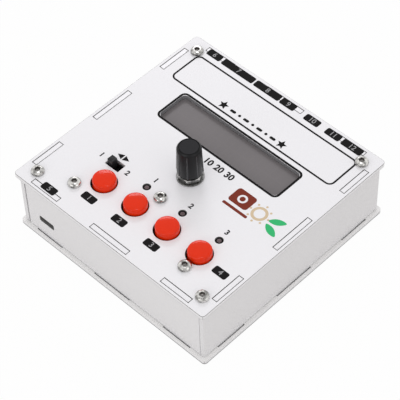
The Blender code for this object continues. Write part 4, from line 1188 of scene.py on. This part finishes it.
class KEYER_OT_encoder(bpy.types.Operator):
    """Makes the washer, the chamfered nut and the thread of the bush"""

    bl_idname = "keyer.encoder"
    bl_label = "Encoder fittings"

    def execute(self, context):
        made = finishes(context)
        metal = made["dark nickel"]
        bore = 3.75 * MM
        thick = span("encoder_washer").z
        edge = 0.08 * MM
        rim = 5.6 * MM
        profile = [(bore, 0), (rim - edge, 0), (rim, edge), (rim, thick - edge)]
        profile += [(rim - edge, thick), (bore, thick)]
        washer = turned_mesh(profile, 96, True)
        place = (*ENCODER.xy, low("encoder_washer").z)
        settle("washer", washer, metal, "case", ["encoder_washer"], place)

        tall = span("encoder_nut").z
        across = 9.0 * MM
        lead_in = 0.3 * MM
        face, chamfer, flank = hexagon(across, 4.55 * MM), hexagon(across, 4.9 * MM), hexagon(across)
        profile = [(bore, lead_in), (bore + lead_in, 0), (face, 0), (chamfer, 0.2 * MM)]
        profile += [(flank, 0.45 * MM), (flank, tall - 0.45 * MM), (chamfer, tall - 0.2 * MM)]
        profile += [(face, tall), (bore + lead_in, tall), (bore, tall - lead_in)]
        nut = turned_mesh(profile, 96, True)
        # The nut's chamfers take a lighter metal, a painted highlight
        for side in nut.faces:
            side.material_index = int(0.1 < abs(side.normal.z) < 0.98)
        looks = [metal, made["nut edge"]]
        place = (*ENCODER.xy, low("encoder_nut").z)
        settle("nut", nut, looks, "case", ["encoder_nut"], place, sharp=20)

        sizes = {"Radius": 3.42 * MM, "Turns": 9.0, "Height": 6.6 * MM, "Ridge": 0.26 * MM}
        thread = thread_tree().grow({**sizes, "Material": metal})
        place = (*ENCODER.xy, high("encoder_body").z - 6.8 * MM)
        settle("bush_thread", thread, metal, "case", (), place)
        return {"FINISHED"}


class KEYER_OT_slide(bpy.types.Operator):
    """Makes the slide switch's grooved lever"""

    bl_idname = "keyer.slide"
    bl_label = "Slide switch"

    def execute(self, context):
        made = finishes(context)
        lo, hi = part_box("slide_switch_lever")
        size = hi - lo
        width, depth = 2.7 * MM, 2.95 * MM
        stem = block_mesh(width, depth, size.z - 0.6 * MM, 0.22 * MM, (0, 0, size.z / 2 + 0.3 * MM))
        foot = block_mesh(size.x, size.y, 1.0 * MM, 0.1 * MM, (0, 0, 0.5 * MM))
        grooves = [
            block_mesh(0.3 * MM, depth * 2, 0.4 * MM, 0.1 * MM, (offset * MM, 0, size.z))
            for offset in (-0.65, 0, 0.65)
        ]
        lever = merged(carved(stem, *grooves), foot)
        place = (*middle("slide_switch_lever").xy, lo.z)
        replaced = ["slide_switch_lever"]
        settle("slide_lever", lever, made["black"], "mode_lever", replaced, place)
        return {"FINISHED"}


class KEYER_OT_lights(bpy.types.Operator):
    """Makes the three unlit lights, with a dome, a rim and two legs"""

    bl_idname = "keyer.lights"
    bl_label = "Lights"

    def execute(self, context):
        made = finishes(context)
        foot = low(LIGHTS[0]).z
        tall = 5.3 * MM
        base = high(LIGHTS[0]).z - tall
        flange = 1.9 * MM
        lamp = [(0, tall), (0.5 * MM, 5.28 * MM), (0.95 * MM, 5.2 * MM), (1.15 * MM, 5.14 * MM)]
        lamp += arc((1.2 * MM, 4.8 * MM), 0.32 * MM, 85, 0, 5)
        lamp += [(1.52 * MM, 1.0 * MM), (flange, 0.95 * MM), (flange, 0), (0, 0)]
        pieces = [moved(turned_mesh(lamp, 40), (0, 0, base))]
        leg = 0.5 * MM
        leg_height = base - foot + 0.2 * MM
        for side in (-1, 1):
            place = (side * 1.0 * MM, 0, foot + leg_height / 2)
            pieces.append(block_mesh(leg, leg, leg_height, 0.05 * MM, place))
        spots = [middle(name).xy for name in LIGHTS]
        mesh = copied(merged(*pieces), [(*spot, 0) for spot in spots], made["lens"])
        # The outer part of each light takes near-black, a painted shade in the gap round its lens
        for face in mesh.faces:
            reach = min((face.calc_center_median().xy - spot).length for spot in spots)
            face.material_index = int(reach > 1.0 * MM)
        settle("lights", mesh, [made["lens"], made["pit"]], "case", LIGHTS)
        return {"FINISHED"}


class KEYER_OT_sockets(bpy.types.Operator):
    """Makes the sockets' shells, tongues and contacts, and the five jacks"""

    bl_idname = "keyer.sockets"
    bl_label = "Sockets"

    def execute(self, context):
        made = finishes(context)
        micro = {
            "wall": 0.3 * MM,
            "corners": (0.9 * MM, 0.7 * MM),
            "edge": 0.08 * MM,
            "back": 1.0 * MM,
            "tongue": (3.8 * MM, 0.6 * MM, 0.08 * MM),
            "rise": 0,
            "setback": 1.0 * MM,
            "overlap": 0.5 * MM,
            "contacts": (5, 0.65 * MM, 0.4 * MM, 3.0 * MM, 0.1 * MM),
            "contact_spot": (-0.3 * MM, -2.8 * MM),
        }
        rise = span("usb_host_socket").z / 2 - 1.85 * MM
        host = {
            "wall": 0.4 * MM,
            "corners": (0.5 * MM, 0.3 * MM),
            "edge": 0.1 * MM,
            "back": 2.6 * MM,
            "tongue": (11.1 * MM, 1.9 * MM, 0.15 * MM),
            "rise": rise,
            "setback": 2.6 * MM,
            "overlap": 1.0 * MM,
            "contacts": (4, 2.3 * MM, 1.0 * MM, 6.5 * MM, 0.12 * MM),
            "contact_spot": (rise - 0.98 * MM, -6.6 * MM),
        }
        tree = contacts_tree()
        # The front socket's shell is painted as shade
        self.socket(made, tree, "front_usb_socket", FACING_FRONT, "shaded tin", micro)
        self.socket(made, tree, "rear_usb_socket", FACING_BACK, "tin", micro)
        self.socket(made, tree, "usb_host_socket", FACING_BACK, "tin", host)
        self.jacks(made)
        return {"FINISHED"}

    def socket(self, made, tree, name, turn, look, sizes):
        """A shell that is closed at its back, a tongue in it, and a row of contacts on the tongue.

        The corners are those of the shell and of its bore. The tongue has a width, a thickness and an
        edge, and the contacts have a count, a pitch, a width, a length and a thickness.
        """
        size = span(name)
        mouth = low(name).y if turn == FACING_FRONT else high(name).y
        spot = (middle(name).x, mouth, middle(name).z)
        wall = 2 * sizes["wall"]
        outer = rounded(size.x, size.z, sizes["corners"][0])
        inner = rounded(size.x - wall, size.z - wall, sizes["corners"][1])
        tube = moved(sheet_mesh([outer, inner], size.y, sizes["edge"], 1), (0, 0, -size.y / 2))
        back = moved(sheet_mesh([inner], sizes["back"], 0.02 * MM), (0, 0, sizes["back"] / 2 - size.y))
        shell = merged(tube, back)
        settle(f"{name}_shell", shell, made[look], "case", [name], spot, turn)

        width, thick, edge = sizes["tongue"]
        reach = size.y - sizes["setback"] - sizes["overlap"]
        centre = (0, sizes["rise"], -sizes["setback"] - reach / 2)
        tongue = block_mesh(width, thick, reach, edge, centre)
        settle(f"{name}_tongue", tongue, made["black"], "case", (), spot, turn)

        row = dict(zip(("Count", "Pitch", "Width", "Length", "Thickness"), sizes["contacts"]))
        first = -row["Pitch"] * (row["Count"] - 1) / 2
        pins = tree.grow({**row, "Material": made["gold"]})
        moved(pins, (first, *sizes["contact_spot"]))
        settle(f"{name}_contacts", pins, made["gold"], "case", (), spot, turn)

    def jacks(self, made):
        """Five bodies with a collar each, and the metal sleeves in their bores."""
        bore = 1.8 * MM
        rim = 2.45 * MM
        proud = 1.9 * MM
        depth = 12.0 * MM
        bottom = -10.5 * MM
        body = block_mesh(7.6 * MM, 5.0 * MM, depth, 0.15 * MM, (0, 0, -depth / 2))
        drill = turned_mesh([(0, bottom), (bore, bottom), (bore, MM), (0, MM)], 40)
        profile = [(bore, -0.5 * MM), (rim, -0.5 * MM), (rim, proud - 0.2 * MM)]
        profile += [(rim - 0.2 * MM, proud), (bore + 0.25 * MM, proud), (bore, proud - 0.25 * MM)]
        jack = merged(carved(body, drill), turned_mesh(profile, 48, True))
        thin = bore - 0.06 * MM
        sleeve = turned_mesh([(thin, 0), (bore, 0), (bore, 1.4 * MM), (thin, 1.4 * MM)], 40, True)
        reach = low(JACKS[0]).y + depth
        spots = [(-middle(name).x, middle(name).z, reach) for name in JACKS]
        for name, mesh, look, slot, nodes in (
            ("jacks", jack, "black", "black_plastic", JACKS),
            ("jack_liners", sleeve, "tin", "socket_shell", ()),
        ):
            row = copied(mesh, spots, made[look])
            settle(name, row, made[look], "case", nodes, turn=FACING_BACK)


# Print


# Number, x, y and width of each badge, in millimetres
BADGES = (
    ("1", -20.5, -40.5, 6.85),
    ("2", -3.75, -40.5, 6.85),
    ("3", 13.75, -40.5, 6.85),
    ("4", 42.1, -32.2, 6.85),
    ("5", -35.25, -47.9, 7.35),
    ("6", -38.2, 48.6, 7.4),
    ("7", -24.75, 48.6, 17.5),
    ("8", -8.4, 48.6, 13.8),
    ("9", 2.85, 48.6, 7.6),
    ("10", 15.9, 48.6, 7.6),
    ("11", 27.1, 48.6, 7.6),
    ("12", 37.0, 48.6, 10.2),
)
# Number, x, y and height of each numeral on the bare plate, in millimetres
NUMERALS = (
    ("1", -7.7, -16.6, 2.4),
    ("2", 11.5, -16.6, 2.4),
    ("3", 30.7, -16.6, 2.4),
    ("1", -33.0, -21.6, 2.4),
    ("2", -18.6, -21.6, 2.4),
    ("10", 0.6, 4.4, 3.0),
    ("20", 6.2, 4.4, 3.0),
    ("30", 11.8, 4.4, 3.0),
)


def inked(thickness, *outlines):
    """A print of this thickness; the outlines inside the first stay bare."""
    return sheet_mesh(outlines, thickness, thickness * 0.1)


def numeral_mesh(text, height, spot, thickness, weight=0.012):
    """Plain digits, centred on a spot; the weight is a share of the height."""
    digit_share = 0.72
    curve = bpy.data.curves.new("digits", "FONT")
    curve.body = text
    curve.size = height / digit_share
    curve.align_x = "CENTER"
    curve.align_y = "CENTER"
    curve.offset = height * weight
    curve.extrude = thickness / 2
    curve.resolution_u = 4
    return moved(mesh_of(curve), (*spot, 0))


def frame_line(width, depth, radius, line, centre, thickness):
    """A line that runs round a rounded field."""
    outer = rounded(width, depth, radius, centre)
    inner = rounded(width - 2 * line, depth - 2 * line, max(radius - line, 0.1 * MM), centre)
    return inked(thickness, outer, inner)


class KEYER_OT_print(bpy.types.Operator):
    """Prints the badges with plain numbers, the frames, the arrows and a small ornament"""

    bl_idname = "keyer.print"
    bl_label = "Print"

    def execute(self, context):
        made = finishes(context)
        thick = context.scene.keyer_sizes.print_height
        level = TOP_FACE + thick / 2
        parts = []
        digits = []
        badge_depth = 3.6 * MM
        badge_corner = 0.8 * MM
        for text, x, y, width in BADGES:
            spot = (x * MM, y * MM)
            parts.append(inked(thick, rounded(width * MM, badge_depth, badge_corner, spot, 5)))
            digits.append(numeral_mesh(text, 2.4 * MM, spot, thick))
        parts.append(frame_line(65.95 * MM, 17.35 * MM, 2.6 * MM, 1.0 * MM, DISPLAY.xy, thick))
        field = (0.4 * MM, 35.85 * MM)
        parts.append(frame_line(87.7 * MM, 17.2 * MM, 2.7 * MM, 0.8 * MM, field, thick))
        arrows = (-25.55 * MM, -16.85 * MM)
        stars = (-0.3 * MM, 30.7 * MM)
        star_reach = 15.8 * MM
        for side in (-1, 1):
            base = arrows[0] + side * 0.3 * MM
            tip = (base + side * 2.85 * MM, arrows[1])
            tails = [(base, arrows[1] + half_width) for half_width in (1.4 * MM, -1.4 * MM)]
            parts.append(inked(thick, [tip, *tails]))
            parts.append(inked(thick, star(2.35 * MM, (side * star_reach + stars[0], stars[1]))))
        bars = 30.6 * MM
        bar_depth = 1.3 * MM
        bar_pitch = 3.6 * MM
        for index in range(-3, 4):
            width = bar_depth if index % 2 == 0 else 2.9 * MM
            parts.append(inked(thick, rounded(width, bar_depth, 0.6 * MM, (index * bar_pitch, bars))))
        for text, x, y, height in NUMERALS:
            parts.append(numeral_mesh(text, height * MM, (x * MM, y * MM), thick, 0.05))
        settle("black_print", merged(*parts), made["ink"], "case", (), (0, 0, level))
        raised = level + thick * 0.6
        settle("numerals", merged(*digits), made["numeral"], "case", (), (0, 0, raised))
        self.ornament(made, thick, level)
        return {"FINISHED"}

    def ornament(self, made, thick, level):
        """A small generic design: a framed ring over a bar, a beaded ring and two leaves."""
        centre = (32.0 * MM, -2.0 * MM)

        def at(x, y):
            return (centre[0] + x * MM, centre[1] + y * MM)

        ring = at(-8.4, 1.6)
        brown = [
            inked(thick, rounded(9.6 * MM, 7.6 * MM, 1.4 * MM, ring), circle(2.1 * MM, 40, ring)),
            inked(thick, rounded(12.6 * MM, 1.3 * MM, 0.5 * MM, at(-7.2, -4.2))),
            inked(thick, circle(1.2 * MM, 32, ring)),
        ]
        beaded = at(1.4, 0.6)
        sand = [inked(thick, circle(3.5 * MM, 48, beaded), circle(2.3 * MM, 40, beaded))]
        for spot in circle(4.5 * MM, 8, beaded):
            sand.append(inked(thick, circle(0.5 * MM, 20, spot)))
        green = [
            inked(thick, leaf(at(x, y), lean, 3.6 * MM, 1.5 * MM))
            for x, y, lean in ((9.4, 2.2, 0.5), (9.9, -2.6, -0.4))
        ]
        for name, parts, ink in (
            ("ornament_brown", brown, "brown ink"),
            ("ornament_sand", sand, "sand ink"),
            ("ornament_green", green, "green ink"),
        ):
            settle(name, merged(*parts), made[ink], "case", (), (0, 0, level))


class KEYER_OT_inside(bpy.types.Operator):
    """Gives the boards, standoffs and switches their finishes, and makes the display's cell"""

    bl_idname = "keyer.inside"
    bl_label = "Inside"

    def execute(self, context):
        made = finishes(context)
        chosen = {
            "main_board": "board",
            "control_board": "board",
            "display_board": "board",
            "display_bezel": "bezel",
            "slide_switch_housing": "black",
            "encoder_body": "dark nickel",
            "encoder_shaft": "nickel",
            "encoder_plunger": "black",
        }
        brass = like_nodes("lower_standoff", CORNERS) + like_nodes("upper_pillar", CORNERS)
        brass += like_nodes("board_spacer", BOARD_SPOTS)
        chosen.update({name: "brass" for name in brass})
        chosen.update({name: "black" for name in like_nodes("button_switch", range(1, 5))})
        for name, finish in chosen.items():
            data = frame["nodes"][name].data
            data.materials.clear()
            data.materials.append(made[finish])
        lo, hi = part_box("display_glass")
        rim = (high("display_bezel").z + low("top_plate").z) / 2
        edge = 0.02 * MM
        foot = sheet_mesh([rectangle(hi.x - lo.x, hi.y - lo.y)], hi.z - lo.z, edge)
        pane = sheet_mesh([rounded(66.4 * MM, 17.6 * MM, 2.0 * MM)], rim - hi.z + 2 * edge, edge)
        moved(foot, (0, 0, (lo.z + hi.z) / 2))
        moved(pane, (0, 0, (rim + hi.z) / 2))
        place = (*DISPLAY.xy, 0)
        cell = merged(foot, pane)
        settle("display_pane", cell, made["display"], "case", ["display_glass"], place)
        return {"FINISHED"}


# Studio


def studio_white(name, colour, whiteness):
    """Diffuse white that the camera and reflections see brighter, so that it stays white in light."""
    material = bpy.data.materials.new(name)
    material.use_nodes = True
    nodes = Nodes(material.node_tree)
    diffuse = nodes.add("ShaderNodeBsdfDiffuse", {}, {"Color": (*colour, 1)})
    glow = nodes.add("ShaderNodeEmission", {}, {"Color": (1, 1, 1, 1), "Strength": 1.0})
    share = nodes.seen_directly() * whiteness
    nodes.end("Material Output", nodes.add("ShaderNodeMixShader", {}, {0: share, 1: diffuse, 2: glow}))
    return material


def softbox(name, spot, aim, size, power, colour=(1, 1, 1)):
    """A rectangular lamp that looks at a point; its power is in watts."""
    data = bpy.data.lights.new(name, "AREA")
    data.color = colour
    data.shape = "RECTANGLE"
    data.size, data.size_y = size
    data.energy = power
    lamp = linked(name, data)
    lamp.location = spot
    lamp.rotation_euler = (Vector(aim) - Vector(spot)).to_track_quat("-Z", "Y").to_euler()


class KEYER_OT_studio(bpy.types.Operator):
    """Sets the floor, the lamps, the world and the camera"""

    bl_idname = "keyer.studio"
    bl_label = "Studio"

    def execute(self, context):
        scene = context.scene
        scene.view_settings.view_transform = "Standard"
        mesh = bmesh.new()
        bmesh.ops.create_grid(mesh, x_segments=1, y_segments=1, size=6)
        data = mesh_data("floor", mesh)
        data.materials.append(studio_white("Studio floor", (0.66, 0.635, 0.605), 0.975))
        floor = linked("floor", data)

        world = bpy.data.worlds.new("Studio world")
        world.use_nodes = True
        scene.world = world
        nodes = Nodes(world.node_tree)
        plain, bright = (
            nodes.add("ShaderNodeBackground", {}, {"Color": (1, 1, 1, 1), "Strength": strength})
            for strength in (0.77, 1.0)
        )
        sky = nodes.add("ShaderNodeMixShader", {}, {0: nodes.seen_directly(), 1: plain, 2: bright})
        nodes.end("World Output", sky)

        aim = (0, 0, 0.02)
        cool = (0.97, 0.95, 1.0)
        softbox("overhead", (0.02, 0.0, 0.82), aim, (0.18, 0.18), 0.68, cool)
        softbox("front fill", (0.05, -0.80, 0.35), aim, (0.5, 0.4), 1.02)
        softbox("side fill", (0.80, -0.05, 0.35), aim, (0.5, 0.4), 0.45)
        softbox("back strip", (-0.466, 0.447, 0.50), aim, (0.3, 0.12), 0.8, cool)
        self.camera(scene)
        return {"FINISHED"}

    def camera(self, scene):
        """A long lens from the front right, fitted to the plate's corners and tab slots."""
        azimuth, elevation, roll = (math.radians(angle) for angle in (45.768, 50.053, -2.180))
        distance = 690.19 * MM
        right_shift = -0.159 * MM
        up_shift = 12.891 * MM
        focal_pixels = 1755.83
        frame_pixels = 400
        back = Vector(
            (
                math.sin(azimuth) * math.cos(elevation),
                -math.cos(azimuth) * math.cos(elevation),
                math.sin(elevation),
            )
        )
        level_right = Vector((math.cos(azimuth), math.sin(azimuth), 0))
        level_up = back.cross(level_right)
        right = level_right * math.cos(roll) + level_up * math.sin(roll)
        up = level_up * math.cos(roll) - level_right * math.sin(roll)
        data = bpy.data.cameras.new("camera")
        data.sensor_width = 36
        data.lens = data.sensor_width * focal_pixels / frame_pixels
        data.clip_start = 0.05
        data.clip_end = 20
        camera = linked("camera", data)
        place = Matrix((right, up, back)).transposed().to_4x4()
        plate = Vector((0, 0, TOP_FACE))
        place.translation = plate - right_shift * right - up_shift * up + distance * back
        camera.matrix_world = place
        scene.camera = camera


class KEYER_PT_tools(bpy.types.Panel):
    """Lists the keyer's sizes, colours and steps"""

    bl_idname = "KEYER_PT_tools"
    bl_label = "Desk Keyer"
    bl_space_type = "VIEW_3D"
    bl_region_type = "UI"
    bl_category = "Keyer"

    def draw(self, context):
        for group in (context.scene.keyer_sizes, context.scene.keyer_colours):
            box = self.layout.box()
            for name in group.__annotations__:
                box.prop(group, name)
        for step in STEPS:
            self.layout.operator(step.bl_idname)


STEPS = (
    KEYER_OT_plates,
    KEYER_OT_walls,
    KEYER_OT_screws,
    KEYER_OT_buttons,
    KEYER_OT_knob,
    KEYER_OT_encoder,
    KEYER_OT_slide,
    KEYER_OT_lights,
    KEYER_OT_sockets,
    KEYER_OT_print,
    KEYER_OT_inside,
    KEYER_OT_studio,
)
CLASSES = (KeyerSizes, KeyerColours, *STEPS, KEYER_PT_tools)


def register():
    for cls in CLASSES:
        bpy.utils.register_class(cls)
    bpy.types.Scene.keyer_sizes = PointerProperty(type=KeyerSizes)
    bpy.types.Scene.keyer_colours = PointerProperty(type=KeyerColours)


def unregister():
    del bpy.types.Scene.keyer_colours
    del bpy.types.Scene.keyer_sizes
    for cls in reversed(CLASSES):
        bpy.utils.unregister_class(cls)


def main():
    for name in ("Cube", "Light", "Camera"):
        leftover = bpy.data.objects.get(name)
        if leftover is not None:
            bpy.data.objects.remove(leftover)
    register()
    for step in STEPS:
        group, name = step.bl_idname.split(".")
        getattr(getattr(bpy.ops, group), name)()


if __name__ == "__main__":
    main()
